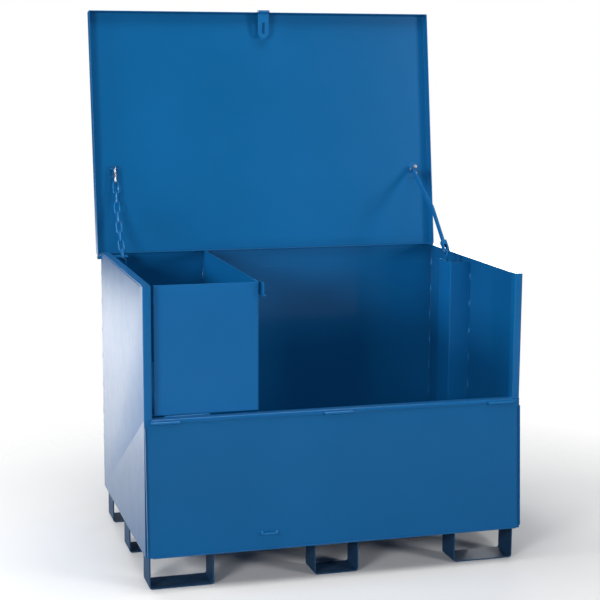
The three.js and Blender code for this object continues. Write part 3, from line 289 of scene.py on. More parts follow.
# %% Group: tone and dust
DRIFT_FINENESS, DRIFT_BAND = 2.3, (0.3, 0.7)
LEVEL_BAND = (0.55, 0.98)
DUST_FINENESS, DUST_BAND = 38.0, (0.35, 0.75)
HANDLING_FINENESS, HANDLING_BAND = 11.0, (0.42, 0.72)
tone_group, tone_in, tone_out = open_group(
    "paint_tone",
    [("Place", VECTOR, None), ("Thin", COLOUR, None), ("Thick", COLOUR, None), ("Dust Amount", FLOAT, 0.2)],
    [("Colour", COLOUR, None), ("Dust", FLOAT, None), ("Dull", FLOAT, None)],
)
drift = window(tone_group, noise(tone_group, tone_in.outputs['Place'], DRIFT_FINENESS, 3.0), *DRIFT_BAND)
film = blend_colours(tone_group, drift, tone_in.outputs['Thin'], tone_in.outputs['Thick'])
join(tone_group, film, tone_out.inputs['Colour'])
facing = add(tone_group, 'ShaderNodeNewGeometry')
upward = add(tone_group, 'ShaderNodeSeparateXYZ')
join(tone_group, facing.outputs['Normal'], upward.inputs[0])
level = window(tone_group, upward.outputs['Z'], *LEVEL_BAND)
specks = noise(tone_group, tone_in.outputs['Place'], DUST_FINENESS, 4.0, 0.6)
settled = maths(tone_group, 'MULTIPLY', level, window(tone_group, specks, *DUST_BAND))
dusty = maths(tone_group, 'MULTIPLY', settled, tone_in.outputs['Dust Amount'], clamp=True)
join(tone_group, dusty, tone_out.inputs['Dust'])
handled = noise(tone_group, tone_in.outputs['Place'], HANDLING_FINENESS, 5.0, 0.7)
join(tone_group, window(tone_group, handled, *HANDLING_BAND), tone_out.inputs['Dull'])
print("group", tone_group.name, "drifts the colour and settles the dust")

# %% [markdown]
# ## The enamel
#
# Each enamelled piece uses the same recipe with its own numbers: a pigment that scatters light,
# under a clear glossy coat. Chips show grey primer, and the worst of them bare steel. The
# shader's own sockets hold what is the same all over, and only what changes is linked.

# %% Enamel recipe
PRIMER = (0.16, 0.19, 0.22, 1.0)
BARE_STEEL = (0.33, 0.33, 0.34, 1.0)
DUST = (0.30, 0.32, 0.33, 1.0)
HANDLING_DULLS, SCUFFING_DULLS, DUST_DULLS = 0.05, 0.25, 0.40
PIGMENT_SHEEN = 0.12
COAT_INDEX = 1.32
COAT_ROUGHNESS = 0.07


def enamel(name, thin, thick, dulness=0.30, coat=1.0, peel_height=0.000005, swim_height=0.0004,
           wear=0.22, reach=0.003, dust=0.10):
    """A pigment between the thin and the thick film's colour, under a clear coat. Its roughness is
    the dulness plus a share of the handling, scuffing and dust masks."""
    made = bpy.data.materials.new(name)
    made.use_nodes = True
    tree = made.node_tree
    shader = tree.nodes['Principled BSDF']
    place = add(tree, 'ShaderNodeTexCoord').outputs['Object']
    tone = place_group(tree, tone_group, Thin=(*thin, 1.0), Thick=(*thick, 1.0), Dust_Amount=dust)
    skin = place_group(tree, peel_group, Peel_Height=peel_height, Swim_Height=swim_height)
    join(tree, place, tone.inputs['Place'])
    join(tree, place, skin.inputs['Place'])
    colour = tone.outputs['Colour']
    dull = maths(tree, 'MULTIPLY', tone.outputs['Dull'], HANDLING_DULLS)
    if wear > 0.0:
        worn = place_group(tree, wear_group, Amount=wear, Reach=reach)
        join(tree, place, worn.inputs['Place'])
        colour = blend_colours(tree, worn.outputs['Scuffed'], colour, PRIMER)
        colour = blend_colours(tree, worn.outputs['Bare'], colour, BARE_STEEL)
        dull = maths(tree, 'ADD', dull, maths(tree, 'MULTIPLY', worn.outputs['Scuffed'], SCUFFING_DULLS))
        join(tree, worn.outputs['Bare'], shader.inputs['Metallic'])
    join(tree, blend_colours(tree, tone.outputs['Dust'], colour, DUST), shader.inputs['Base Color'])
    dull = maths(tree, 'ADD', dull, maths(tree, 'MULTIPLY', tone.outputs['Dust'], DUST_DULLS))
    join(tree, maths(tree, 'ADD', dull, dulness, clamp=True), shader.inputs['Roughness'])
    join(tree, skin.outputs['Normal'], shader.inputs['Normal'])
    shader.inputs['Specular IOR Level'].default_value = PIGMENT_SHEEN
    shader.inputs['Coat Weight'].default_value = coat
    shader.inputs['Coat IOR'].default_value = COAT_INDEX
    shader.inputs['Coat Roughness'].default_value = COAT_ROUGHNESS
    return made


# The box, interior, bin, lid and flap are one blue enamel. Their colours differ a little in lightness from
# piece to piece. This is painted light and shade: each piece is made lighter or darker to stand in for how
# much light falls on it.
BOX_BLUE = enamel("box_enamel", (0.004, 0.112, 0.310), (0.003, 0.102, 0.285),
                  peel_height=0.000002, swim_height=0.0003)
INTERIOR_BLUE = enamel("interior_enamel", (0.004, 0.114, 0.325), (0.003, 0.104, 0.300),
                       coat=0.45, wear=0.12)
BIN_BLUE = enamel("bin_enamel", (0.004, 0.118, 0.330), (0.003, 0.108, 0.305), coat=0.7)
LID_BLUE = enamel("lid_enamel", (0.004, 0.112, 0.305), (0.003, 0.101, 0.272), coat=0.55)
FLAP_BLUE = enamel("flap_enamel", (0.003, 0.102, 0.280), (0.003, 0.093, 0.258), coat=0.8)
FOOT_NAVY = enamel("foot_enamel", (0.016, 0.062, 0.140), (0.013, 0.050, 0.115),
                   dulness=0.45, coat=0.10, wear=0.12, reach=0.002)
FITTING_BLUE = enamel("fitting_enamel", (0.006, 0.125, 0.340), (0.005, 0.112, 0.305),
                      swim_height=0.00005, wear=0.14, reach=0.0010)
ROD_BLUE = enamel("rod_enamel", (0.007, 0.150, 0.400), (0.006, 0.130, 0.355),
                  dulness=0.24, swim_height=0.00002, wear=0.0, dust=0.05)
print("eight enamels are mixed")

# %% [markdown]
# ## Zinc and bare steel
#
# The quick link, the bolts and the pins of the stay are zinc plated. Bright plating is a metal
# with a fine, cloudy grain. The pins of the lid's hinges and of the hasp are drawn steel, whose
# fine lines run along the bar, so the noise for them is stretched along X.

# %% Metals
CLOUD_FINENESS, CLOUD_BAND = 160.0, (0.30, 0.70)
GRAIN_DULLS = 0.22
GRAIN_HEIGHT = 0.00002


def metal(name, light, dark, dulness, stretch, fineness):
    """A metal whose colour is clouded between light and dark, and whose roughness and relief
    follow a grain that is stretched by a factor along each axis."""
    made = bpy.data.materials.new(name)
    made.use_nodes = True
    tree = made.node_tree
    shader = tree.nodes['Principled BSDF']
    place = add(tree, 'ShaderNodeTexCoord').outputs['Object']
    grain_place = add(tree, 'ShaderNodeMapping')
    grain_place.inputs['Scale'].default_value = stretch
    join(tree, place, grain_place.inputs['Vector'])
    grain = noise(tree, grain_place.outputs['Vector'], fineness, 4.0, 0.6)
    cloud = window(tree, noise(tree, place, CLOUD_FINENESS, 3.0), *CLOUD_BAND)
    join(tree, blend_colours(tree, cloud, (*light, 1.0), (*dark, 1.0)), shader.inputs['Base Color'])
    shader.inputs['Metallic'].default_value = 1.0
    rough = maths(tree, 'ADD', maths(tree, 'MULTIPLY', grain, GRAIN_DULLS), dulness, clamp=True)
    join(tree, rough, shader.inputs['Roughness'])
    relief = add(tree, 'ShaderNodeBump')
    relief.inputs['Distance'].default_value = GRAIN_HEIGHT
    join(tree, grain, relief.inputs['Height'])
    join(tree, relief.outputs['Normal'], shader.inputs['Normal'])
    return made


ZINC = metal("zinc_plate", (0.52, 0.53, 0.56), (0.38, 0.39, 0.42),
             dulness=0.24, stretch=(1.0, 1.0, 1.0), fineness=700.0)
DRAWN_STEEL = metal("plain_steel", (0.42, 0.43, 0.45), (0.30, 0.31, 0.32),
                    dulness=0.24, stretch=(0.05, 1.0, 1.0), fineness=1500.0)

finish_of = {
    "box_enamel": BOX_BLUE, "interior_enamel": INTERIOR_BLUE, "bin_enamel": BIN_BLUE,
    "lid_enamel": LID_BLUE, "flap_enamel": FLAP_BLUE, "foot_enamel": FOOT_NAVY,
    "fitting_enamel": FITTING_BLUE, "zinc_plate": ZINC, "plain_steel": DRAWN_STEEL,
}
print("zinc and drawn steel are mixed")

# %% [markdown]
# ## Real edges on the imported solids
#
# Nothing cut and folded from steel has a perfectly sharp edge, and a knife edge never catches
# the light. The solids arrive as loose triangles, so a live modifier welds them, another melts
# coplanar triangles into whole faces, a third keeps curved runs smooth and creases sharp, and a
# bevel breaks every sharp edge by a fraction of a millimetre. The solids themselves stay as
# they are.


# %% Smooth curves, sharp creases
def crease_group(angle):
    """Shades every face smooth and marks the edges that turn by more than the angle as sharp."""
    group = bpy.data.node_groups.new("keep_creases", 'GeometryNodeTree')
    group.interface.new_socket(name="Geometry", in_out='INPUT', socket_type='NodeSocketGeometry')
    group.interface.new_socket(name="Geometry", in_out='OUTPUT', socket_type='NodeSocketGeometry')
    entry = group.nodes.new('NodeGroupInput')
    leave = group.nodes.new('NodeGroupOutput')
    forget = add(group, 'GeometryNodeRemoveAttribute')
    forget.inputs['Name'].default_value = "custom_normal"
    smooth = add(group, 'GeometryNodeSetShadeSmooth', domain='FACE')
    sharpen = add(group, 'GeometryNodeSetShadeSmooth', domain='EDGE')
    sharpen.inputs['Shade Smooth'].default_value = False
    turn = add(group, 'GeometryNodeInputMeshEdgeAngle')
    steep = add(group, 'FunctionNodeCompare', data_type='FLOAT', operation='GREATER_THAN')
    steep.inputs[1].default_value = angle
    join(group, entry.outputs[0], forget.inputs['Geometry'])
    join(group, forget.outputs['Geometry'], smooth.inputs['Geometry'])
    join(group, smooth.outputs['Geometry'], sharpen.inputs['Geometry'])
    join(group, turn.outputs['Unsigned Angle'], steep.inputs[0])
    join(group, steep.outputs['Result'], sharpen.inputs['Selection'])
    join(group, sharpen.outputs['Geometry'], leave.inputs[0])
    return group


CREASE_ANGLE = math.radians(34.0)
keep_creases = crease_group(CREASE_ANGLE)
print("edges that turn by more than", round(math.degrees(CREASE_ANGLE)), "degrees stay sharp")

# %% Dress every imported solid
WELD_DISTANCE = 0.00001
FLAT_ANGLE = math.radians(0.4)
PLAIN_EDGE = 0.0004
EDGE_OF = {"foot_enamel": 0.0006, "fitting_enamel": 0.0005, "zinc_plate": 0.0005}


def break_edges(piece, width):
    """Welds, melts, creases and then bevels a solid by the width, all as live modifiers."""
    weld = piece.modifiers.new("weld", 'WELD')
    weld.merge_threshold = WELD_DISTANCE
    melt = piece.modifiers.new("melt", 'DECIMATE')
    melt.decimate_type = 'DISSOLVE'
    melt.angle_limit = FLAT_ANGLE
    creases = piece.modifiers.new("creases", 'NODES')
    creases.node_group = keep_creases
    rounding = piece.modifiers.new("broken_edges", 'BEVEL')
    rounding.width = width
    rounding.segments = 2
    rounding.limit_method = 'ANGLE'
    rounding.angle_limit = CREASE_ANGLE
    rounding.harden_normals = True
    rounding.use_clamp_overlap = True


slot_of = {part["node"]: part["material_slot"] for part in frame["record"]["subparts"]}
for node_name, piece in frame["nodes"].items():
    slot_name = slot_of[node_name]
    piece.data.materials[0] = finish_of[slot_name]
    break_edges(piece, EDGE_OF.get(slot_name, PLAIN_EDGE))
print(len(frame["nodes"]), "solids are dressed")

# %% [markdown]
# ## Surfaces from numbers
#
# The new pieces are grids: rows of points along a path and points round each row. One helper
# closes such a grid into a loop or ends it in two poles, and one gathers many grids in one mesh.


# %% Grid helpers
def ring_grid(centres, side, up, wide, high, around):
    """Points at centre + wide cos(t) side + high sin(t) up, for t once round, one row per centre."""
    t = np.linspace(0.0, 2.0 * np.pi, around, endpoint=False)
    spread = np.cos(t)[None, :, None] * side[:, None, :] * wide[:, None, None]
    rise = np.sin(t)[None, :, None] * up[:, None, :] * high[:, None, None]
    return centres[:, None, :] + spread + rise


def looped_faces(rows, around):
    """Quads between each row and the next, the last row joining the first."""
    r, a = np.meshgrid(np.arange(rows), np.arange(around), indexing='ij')
    r2, a2 = (r + 1) % rows, (a + 1) % around
    corners = [r * around + a, r * around + a2, r2 * around + a2, r2 * around + a]
    return np.stack(corners, axis=-1).reshape(-1, 4)


def poled_faces(rows, around):
    """Quads between rows, and a fan of triangles from the first and the last row to a pole."""
    r, a = np.meshgrid(np.arange(rows - 1), np.arange(around), indexing='ij')
    a2 = (a + 1) % around
    corners = [r * around + a, r * around + a2, (r + 1) * around + a2, (r + 1) * around + a]
    quads = np.stack(corners, axis=-1)
    ring = np.arange(around)
    following = (ring + 1) % around
    first_pole, last_pole = rows * around, rows * around + 1
    last = (rows - 1) * around
    start = np.stack([following, ring, np.full(around, first_pole)], axis=-1)
    finish = np.stack([last + ring, last + following, np.full(around, last_pole)], axis=-1)
    return quads.reshape(-1, 4).tolist() + start.tolist() + finish.tolist()


def outward(points, faces):
    """Turns every face round if the closed shape's volume comes out negative."""
    first_halves = [face[:3] for face in faces]
    second_halves = [[face[0], face[2], face[3]] for face in faces if len(face) == 4]
    corners = points[np.array(first_halves + second_halves)]
    volume = np.einsum('ij,ij->i', corners[:, 0], np.cross(corners[:, 1], corners[:, 2])).sum()
    return [list(face)[::-1] for face in faces] if volume < 0 else [list(face) for face in faces]


def mesh_piece(name, parts, material, body):
    """Gathers closed (points, faces) shapes in one smooth mesh that moves with a body."""
    points, faces, start = [], [], 0
    for part_points, part_faces in parts:
        turned = outward(part_points, part_faces)
        faces += [[index + start for index in face] for face in turned]
        points.append(part_points)
        start += len(part_points)
    mesh = bpy.data.meshes.new(name)
    mesh.from_pydata(np.concatenate(points).tolist(), [], faces)
    mesh.polygons.foreach_set("use_smooth", np.ones(len(mesh.polygons), dtype=bool))
    mesh.materials.append(material)
    mesh.update()
    piece = bpy.data.objects.new(name, mesh)
    bpy.context.scene.collection.objects.link(piece)
    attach(piece, body)
    return piece


print("grids can be closed to a loop or ended in poles")

# %% [markdown]
# ## The chain
#
# A chain link starts as a rod. It is bent to an oval, its ends are butted and welded on one
# long side, and the weld leaves a small thick place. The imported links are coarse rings, so each
# gets a fine one in its place: the middle line is two straight runs and two half circles, and
# the rod's section travels along it. A link's own slope is read from the pivots at its ends.

# %% Link shape
WIRE = 0.00275
INNER_WIDTH = 0.012
INNER_LENGTH = 0.0358
SEAM = 0.0003
WELD_BULGE = 0.10
WELD_SPREAD = 0.018
CROSSWISE = np.array([1.0, 0.0, 0.0])
PLUMB = np.array([0.0, 0.0, 1.0])


def oval_line(half_straight, radius, steps):
    """Middle line and outward direction of an oval: arc length s runs up one straight, round a
    half circle, down the other straight and round the second half circle."""
    straight, arc = 2.0 * half_straight, math.pi * radius
    s = np.linspace(0.0, 2.0 * (straight + arc), steps, endpoint=False)
    first = s < straight
    second = (s >= straight) & (s < straight + arc)
    third = (s >= straight + arc) & (s < 2.0 * straight + arc)
    stretches = [first, second, third]
    second_bend = (s - 2.0 * straight - arc) / radius + math.pi
    turn = np.select(stretches, [0.0, (s - straight) / radius, math.pi], second_bend)
    way_down = half_straight - (s - straight - arc)
    middle = np.select(stretches, [s - half_straight, half_straight, way_down], -half_straight)
    out = np.stack([np.cos(turn), np.sin(turn)], axis=-1)
    line = np.stack([radius * out[:, 0], middle + radius * out[:, 1]], axis=-1)
    return s / (2.0 * (straight + arc)), line, out


def oval_link(centre, across, along, wire, inner_width, inner_length, bulge, steps=80, around=16):
    """The rod's circle carried along the oval. Its radius grows by the bulge, as a bell curve
    round the middle of the first straight, where the weld is."""
    radius = inner_width / 2.0 + wire
    half_straight = (inner_length - inner_width) / 2.0
    share, line, out = oval_line(half_straight, radius, steps)
    across, along = np.asarray(across), np.asarray(along)
    plate = np.cross(across, along)
    centres = centre + line[:, :1] * across + line[:, 1:] * along
    side = out[:, :1] * across + out[:, 1:] * along
    up = np.broadcast_to(plate, side.shape)
    weld_at = half_straight / (2.0 * (2.0 * half_straight + math.pi * radius))
    thick = wire * (1.0 + bulge * np.exp(-((share - weld_at) / WELD_SPREAD) ** 2))
    grid = ring_grid(centres, side, up, thick, thick, around)
    return grid.reshape(-1, 3), looped_faces(steps, around)


print("a link is bent from wire", round(WIRE * 2000.0, 1), "mm thick")

# %% Hang the links
LAST_LINK = 9
joint_place = {joint["name"]: np.array(joint["pos_m"]) for joint in frame["joints"]}
links = ["chain_quick_link"] + [f"chain_link_{count}" for count in range(1, LAST_LINK + 1)]
pivots = [joint_place[f"{name}_pivot"] for name in links]
for count in range(1, LAST_LINK + 1):
    name = links[count]
    low, high = (np.array(corner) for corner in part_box(name))
    if count < LAST_LINK:
        along = pivots[count] - pivots[count + 1]
        along = along / np.linalg.norm(along)
    else:
        along = PLUMB
    across = -np.cross(CROSSWISE, along) if count % 2 == 0 else CROSSWISE
    shape = oval_link((low + high) / 2.0, across, along, WIRE, INNER_WIDTH, INNER_LENGTH, WELD_BULGE)
    piece = mesh_piece(f"forged_link_{count}", [shape], ROD_BLUE, name)
    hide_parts(name)
top, bottom = float(pivots[0][2]), float(pivots[LAST_LINK][2])
print("nine links hang between", round(top, 3), "and", round(bottom, 3), "m")

# %% [markdown]
# ## The quick link
#
# The quick link is a zinc plated oval with a hexagonal sleeve that screws over its gap. The rod
# shows a few turns of thread above the sleeve. A hexagon can be written as a radius that grows
# between the flats and is capped by a circle near the ends, which gives the chamfer.

# %% Quick link and hexagons
END_SHARE = 0.94


def hex_body(start, axis, side, flat, length, chamfer, around=48, rows=14):
    """A hexagonal bar with chamfered ends. Its radius at angle t is flat / cos(t folded to 30
    degrees either way), never more than a circle that shrinks towards both ends."""
    axis, side = np.asarray(axis, float), np.asarray(side, float)
    other = np.cross(axis, side)
    t = np.linspace(0.0, 2.0 * np.pi, around, endpoint=False)
    folded = (t + math.pi / 6.0) % (math.pi / 3.0) - math.pi / 6.0
    hexagon = flat / np.cos(folded)
    corner = flat / math.cos(math.pi / 6.0)
    first_rows = np.linspace(0.0, chamfer, rows // 2)
    last_rows = np.linspace(length - chamfer, length, rows // 2)
    depth = np.concatenate([first_rows, last_rows])
    from_end = np.minimum(depth, length - depth)
    narrow = flat * END_SHARE
    cap = np.where(from_end < chamfer, narrow + (corner - narrow) * from_end / chamfer, corner)
    radius = np.minimum(hexagon[None, :], cap[:, None])
    ring = np.cos(t)[:, None] * side + np.sin(t)[:, None] * other
    grid = start + depth[:, None, None] * axis + radius[:, :, None] * ring[None, :, :]
    poles = np.stack([start, start + length * axis])
    return np.concatenate([grid.reshape(-1, 3), poles]), poled_faces(rows, around)


QUICK_WIRE, QUICK_WIDTH, QUICK_LENGTH = 0.003, 0.012, 0.0515
EYE_WEB = (0.006, 0.004)
SLEEVE_FLAT, SLEEVE_LENGTH, SLEEVE_CHAMFER = 0.0042, 0.016, 0.0014
quick_up = pivots[0] - pivots[1]
quick_up = quick_up / np.linalg.norm(quick_up)
quick_across = -np.cross(CROSSWISE, quick_up)
web_reach = math.hypot(*EYE_WEB) / 2.0 + SEAM
quick_middle = pivots[0] - quick_up * (QUICK_LENGTH / 2.0 - web_reach)
quick_ring = oval_link(quick_middle, quick_across, quick_up, QUICK_WIRE, QUICK_WIDTH, QUICK_LENGTH, 0.0)
sleeve_centre = quick_middle - quick_across * (QUICK_WIDTH / 2.0 + QUICK_WIRE)
sleeve_start = sleeve_centre - quick_up * (SLEEVE_LENGTH / 2.0)
sleeve = hex_body(sleeve_start, quick_up, quick_across, SLEEVE_FLAT, SLEEVE_LENGTH, SLEEVE_CHAMFER)
print("the quick link is", round((QUICK_LENGTH + 2.0 * QUICK_WIRE) * 1000.0), "mm long")

# %% Thread of the quick link
THREAD_ROD, THREAD_DEPTH, THREAD_PITCH, THREAD_TURNS = 0.0031, 0.00025, 0.0009, 5
THREAD_START = 0.0075


def thread_turns(bottom, axis, side, rod, depth, pitch, turns, around=20, per_turn=8):
    """A rod whose radius follows rod + depth cos(2 pi (height / pitch - t / 2 pi))."""
    other = np.cross(axis, side)
    t = np.linspace(0.0, 2.0 * np.pi, around, endpoint=False)
    h = np.linspace(0.0, turns * pitch, turns * per_turn + 1)
    radius = rod + depth * np.cos(2.0 * np.pi * h[:, None] / pitch - t[None, :])
    ring = np.cos(t)[:, None] * side + np.sin(t)[:, None] * other
    grid = bottom + h[:, None, None] * axis + radius[:, :, None] * ring[None, :, :]
    poles = np.stack([bottom, bottom + h[-1] * axis])
    return np.concatenate([grid.reshape(-1, 3), poles]), poled_faces(len(h), around)


threads = thread_turns(sleeve_centre + quick_up * THREAD_START, quick_up, quick_across,
                       THREAD_ROD, THREAD_DEPTH, THREAD_PITCH, THREAD_TURNS)
quick_shapes = [quick_ring, sleeve, threads]
quick_link = mesh_piece("screwed_quick_link", quick_shapes, ZINC, "chain_quick_link")
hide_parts("chain_quick_link")
print(THREAD_TURNS, "turns of thread show above the sleeve")

# %% [markdown]
# ## Weld beads
#
# The maker joins the sheets with short stitches of arc weld. A bead is a low ridge whose
# surface steps forward in ripples, one for each pause of the torch, and it is thin where it
# starts and ends. Here it is an ellipse carried along a line: its size rises quickly, ripples,
# and falls again, and a seeded jitter keeps two beads from looking alike.

# %% Bead shape
BEAD_SEED = 41
TAPER = 1.4
RIPPLE_SWELL = 0.12
ROWS_PER_RIPPLE = 4
WIDTH_JITTER = 0.03
SIDE_WANDER = 0.00006
bead_dice = np.random.default_rng(BEAD_SEED)


def bead(start, end, lean, wide=0.0032, high=0.0024, ripple=0.0016, around=12):
    """An ellipse along a line. At both ends its size grows as a quarter circle over a short
    taper. All along it swells by a rectified sine, with a little jitter from row to row."""
    start, end = np.asarray(start, float), np.asarray(end, float)
    run = end - start
    length = float(np.linalg.norm(run))
    axis = run / length
    up = np.asarray(lean, float)
    up = up - axis * (up @ axis)
    up = up / np.linalg.norm(up)
    side = np.cross(up, axis)
    rows = max(8, int(length / ripple * ROWS_PER_RIPPLE))
    share = (np.arange(rows) + 0.5) / rows
    ends = np.clip(np.minimum(share, 1.0 - share) * length / (wide * TAPER), 0.0, 1.0)
    rise = np.sqrt(ends * (2.0 - ends))
    scale = rise * (1.0 + RIPPLE_SWELL * np.abs(np.sin(np.pi * share * length / ripple)))
    jitter = bead_dice.normal(0.0, WIDTH_JITTER, rows)
    wander = np.cumsum(bead_dice.normal(0.0, SIDE_WANDER, rows))
    centres = start + share[:, None] * run + (wander - wander.mean())[:, None] * side
    rings = ring_grid(centres, np.broadcast_to(side, centres.shape), np.broadcast_to(up, centres.shape),
                      wide * scale * (1.0 + jitter), high * scale, around)
    poles = np.stack([start, end])
    return np.concatenate([rings.reshape(-1, 3), poles]), poled_faces(rows, around)


def stitches(start, end, lean, count, length, **sizes):
    """Even short beads along a line."""
    start, end = np.asarray(start, float), np.asarray(end, float)
    run = end - start
    whole = float(np.linalg.norm(run))
    axis = run / whole
    middles = (np.arange(count) + 0.5) / count * whole
    half = length / 2
    return [bead(start + axis * (m - half), start + axis * (m + half), lean, **sizes)
            for m in middles]


def upright_stitches(x, y, bottom, top, lean, count, length, sizes):
    """Stitches up the corner that stands at x and y."""
    return stitches((x, y, bottom), (x, y, top), lean, count, length, **sizes)


print("beads can be laid singly or as stitches")

# %% [markdown]
# ### Where the beads are
#
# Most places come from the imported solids' own corners, so a bead lies in the joint that it holds.
# The long runs up the walls start and stop at heights of their own. The feet are stitched along
# the outside of both legs, except where a leg stands flush with a wall.

# %% Beads under the body
FLUSH_LEG = 0.594
END_GAP = 0.004
foot_beads = []
for row in ("front", "middle", "back"):
    for column in ("left", "centre", "right"):
        low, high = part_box(f"foot_{row}_{column}")
        for x, way in ((low.x, -1.0), (high.x, 1.0)):
            if abs(x) < FLUSH_LEG:
                front_end = (x, low.y + END_GAP, high.z)
                back_end = (x, high.y - END_GAP, high.z)
                foot_beads += stitches(front_end, back_end, (way, 0, -1), 2, 0.032)
mesh_piece("foot_weld_beads", foot_beads, FOOT_NAVY, "box_body")
print(len(foot_beads), "stitches hold the feet")

# %% Beads inside the body
SHEET = 0.0025
WALL_INSIDE = 0.5975
PLAIN_BEAD = {}
FINE_BEAD = {"wide": 0.0022, "high": 0.0016}
HEAVY_BEAD = {"wide": 0.0050, "high": 0.0036}
GUARD_FOOT_BEAD = {"wide": 0.0020, "high": 0.0015}
BIN_FOOT_BEAD = {"wide": 0.0026, "high": 0.0016}
BIN_FOOT, WALL_FOOT, RUN_TOP, HEAVY_TOP = 0.56, 0.14, 0.90, 0.86
BIN_SEAM_HEIGHT, FLOOR_SEAM_HEIGHT = 0.5280, 0.1088
front_low, front_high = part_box("bin_front_panel")
split_low, split_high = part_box("bin_divider")
guard_low, guard_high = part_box("stay_guard")
back_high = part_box("back_panel")[1]
inner_back = back_high.y - SHEET

# Each run: x, y, bottom, top, lean, number of stitches, length of one, size of the bead
corner_runs = [
    (front_low.x, front_low.y, front_low.z + 0.02, front_high.z - 0.01, (-1, -1, 0), 5, 0.022, FINE_BEAD),
    (split_low.x, inner_back, BIN_FOOT, HEAVY_TOP, (-1, -1, 0), 6, 0.030, HEAVY_BEAD),
    (split_high.x, inner_back, BIN_FOOT, RUN_TOP, (1, -1, 0), 4, 0.024, PLAIN_BEAD),
    (split_low.x - 0.001, front_high.y, BIN_FOOT, RUN_TOP, (-1, 1, 0), 4, 0.020, FINE_BEAD),
    (WALL_INSIDE, guard_low.y, guard_low.z + 0.01, guard_high.z - 0.004, (-1, -1, 0), 7, 0.022, PLAIN_BEAD),
]
wall_runs = [
    (-WALL_INSIDE, inner_back, WALL_FOOT, RUN_TOP, (1, -1, 0), 8, 0.026, PLAIN_BEAD),
    (WALL_INSIDE, inner_back, WALL_FOOT, RUN_TOP, (-1, -1, 0), 8, 0.026, PLAIN_BEAD),
]
inside_beads = []
for run in corner_runs:
    inside_beads += upright_stitches(*run)
guard_front = guard_low.y + 0.0013
inside_beads += stitches((guard_low.x + 0.012, guard_front, guard_low.z),
                         (WALL_INSIDE - 0.01, guard_front, guard_low.z),
                         (0, 0, -1), 2, 0.018, **GUARD_FOOT_BEAD)
bin_front = front_low.y + 0.0015
inside_beads.append(bead((front_low.x + 0.030, bin_front, BIN_SEAM_HEIGHT),
                         (front_low.x + 0.170, bin_front, BIN_SEAM_HEIGHT), (0, -1, 1), **BIN_FOOT_BEAD))
for run in wall_runs:
    inside_beads += upright_stitches(*run)
inside_beads += stitches((-0.59, inner_back, FLOOR_SEAM_HEIGHT), (0.59, inner_back, FLOOR_SEAM_HEIGHT),
                         (0, -1, 1), 14, 0.026)
mesh_piece("inside_weld_beads", inside_beads, ROD_BLUE, "box_body")
print(len(inside_beads), "stitches hold the inside")

# %% Beads at the corners of the ledge and on the fittings of the body
LEDGE_FRONT, LEDGE_BACK, LEDGE_TOP = -0.397, -0.378, 0.5275
OUTER_BACK = 0.4
LEDGE_BEAD = {"wide": 0.0030, "high": 0.0024}
FITTING_BEAD = {"wide": 0.0024, "high": 0.0018}
corner_beads = []
for x, way in ((-0.575, 1.0), (0.575, -1.0)):
    front_end, back_end = (x, LEDGE_FRONT, LEDGE_TOP), (x, LEDGE_BACK, LEDGE_TOP)
    corner_beads.append(bead(front_end, back_end, (way, 0, 1), **LEDGE_BEAD))
for place in ("left", "centre", "right"):
    low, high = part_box(f"lid_hinge_body_leaf_{place}")
    left_end, right_end = (low.x + END_GAP, OUTER_BACK, low.z), (high.x - END_GAP, OUTER_BACK, low.z)
    corner_beads += stitches(left_end, right_end, (0, 1, -1), 2, 0.024)
tab_low, tab_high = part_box("chain_wall_tab")
front_end = (-WALL_INSIDE, tab_low.y + END_GAP, tab_low.z)
back_end = (-WALL_INSIDE, tab_high.y - END_GAP, tab_low.z)
corner_beads.append(bead(front_end, back_end, (1, 0, -1)))
catch_low, catch_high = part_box("flap_catch")
for z, way in ((catch_low.z, -1), (catch_high.z, 1)):
    back_end = (split_high.x, catch_high.y - 0.003, z)
    front_end = (split_high.x, catch_high.y - 0.033, z)
    corner_beads.append(bead(back_end, front_end, (1, 0, way), **FITTING_BEAD))
mesh_piece("corner_weld_beads", corner_beads, ROD_BLUE, "box_body")
print(len(corner_beads), "beads sit at corners and fittings")

# %% [markdown]
# ### Beads that move
#
# The keeper loop, the padlock eye and the knuckles of the hinges are welded to the flap. The
# hasp's leaf, the eye of the chain and the leaves of the hinges are welded to the lid. Their beads
# ride with the flap and the lid. They are written down where they lie on the closed box, where
# every direction is plain, and are turned about the hinge to where they lie at rest.

# %% From the closed box to rest
joint_limit = {joint["name"]: math.radians(joint["range_deg"][1]) for joint in frame["joints"]}
flap_turn = joint_limit["flap_hinge"]
lid_turn = joint_limit["lid_hinge"]
flap_axis = joint_place["flap_hinge"]
lid_axis = joint_place["lid_hinge"]


def from_closed(point, axis, angle):
    """Where a point of the closed flap or lid lies at rest: turned about X by the angle."""
    y, z = point[1] - axis[1], point[2] - axis[2]
    return np.array([point[0], axis[1] + y * math.cos(angle) - z * math.sin(angle),
                     axis[2] + y * math.sin(angle) + z * math.cos(angle)])


def turned_bead(start, end, lean, axis, angle, **sizes):
    """A bead given on the closed flap or lid, carried to where that lies at rest."""
    tip = from_closed(np.asarray(start) + np.asarray(lean, float), axis, angle)
    begin = from_closed(start, axis, angle)
    return bead(begin, from_closed(end, axis, angle), tip - begin, **sizes)


def flap_bead(start, end, lean, **sizes):
    """A bead on the flap."""
    return turned_bead(start, end, lean, flap_axis, flap_turn, **sizes)


def lid_bead(start, end, lean, **sizes):
    """A bead on the lid."""
    return turned_bead(start, end, lean, lid_axis, -lid_turn, **sizes)


print("the flap turns", round(math.degrees(flap_turn), 1), "degrees between closed and rest")

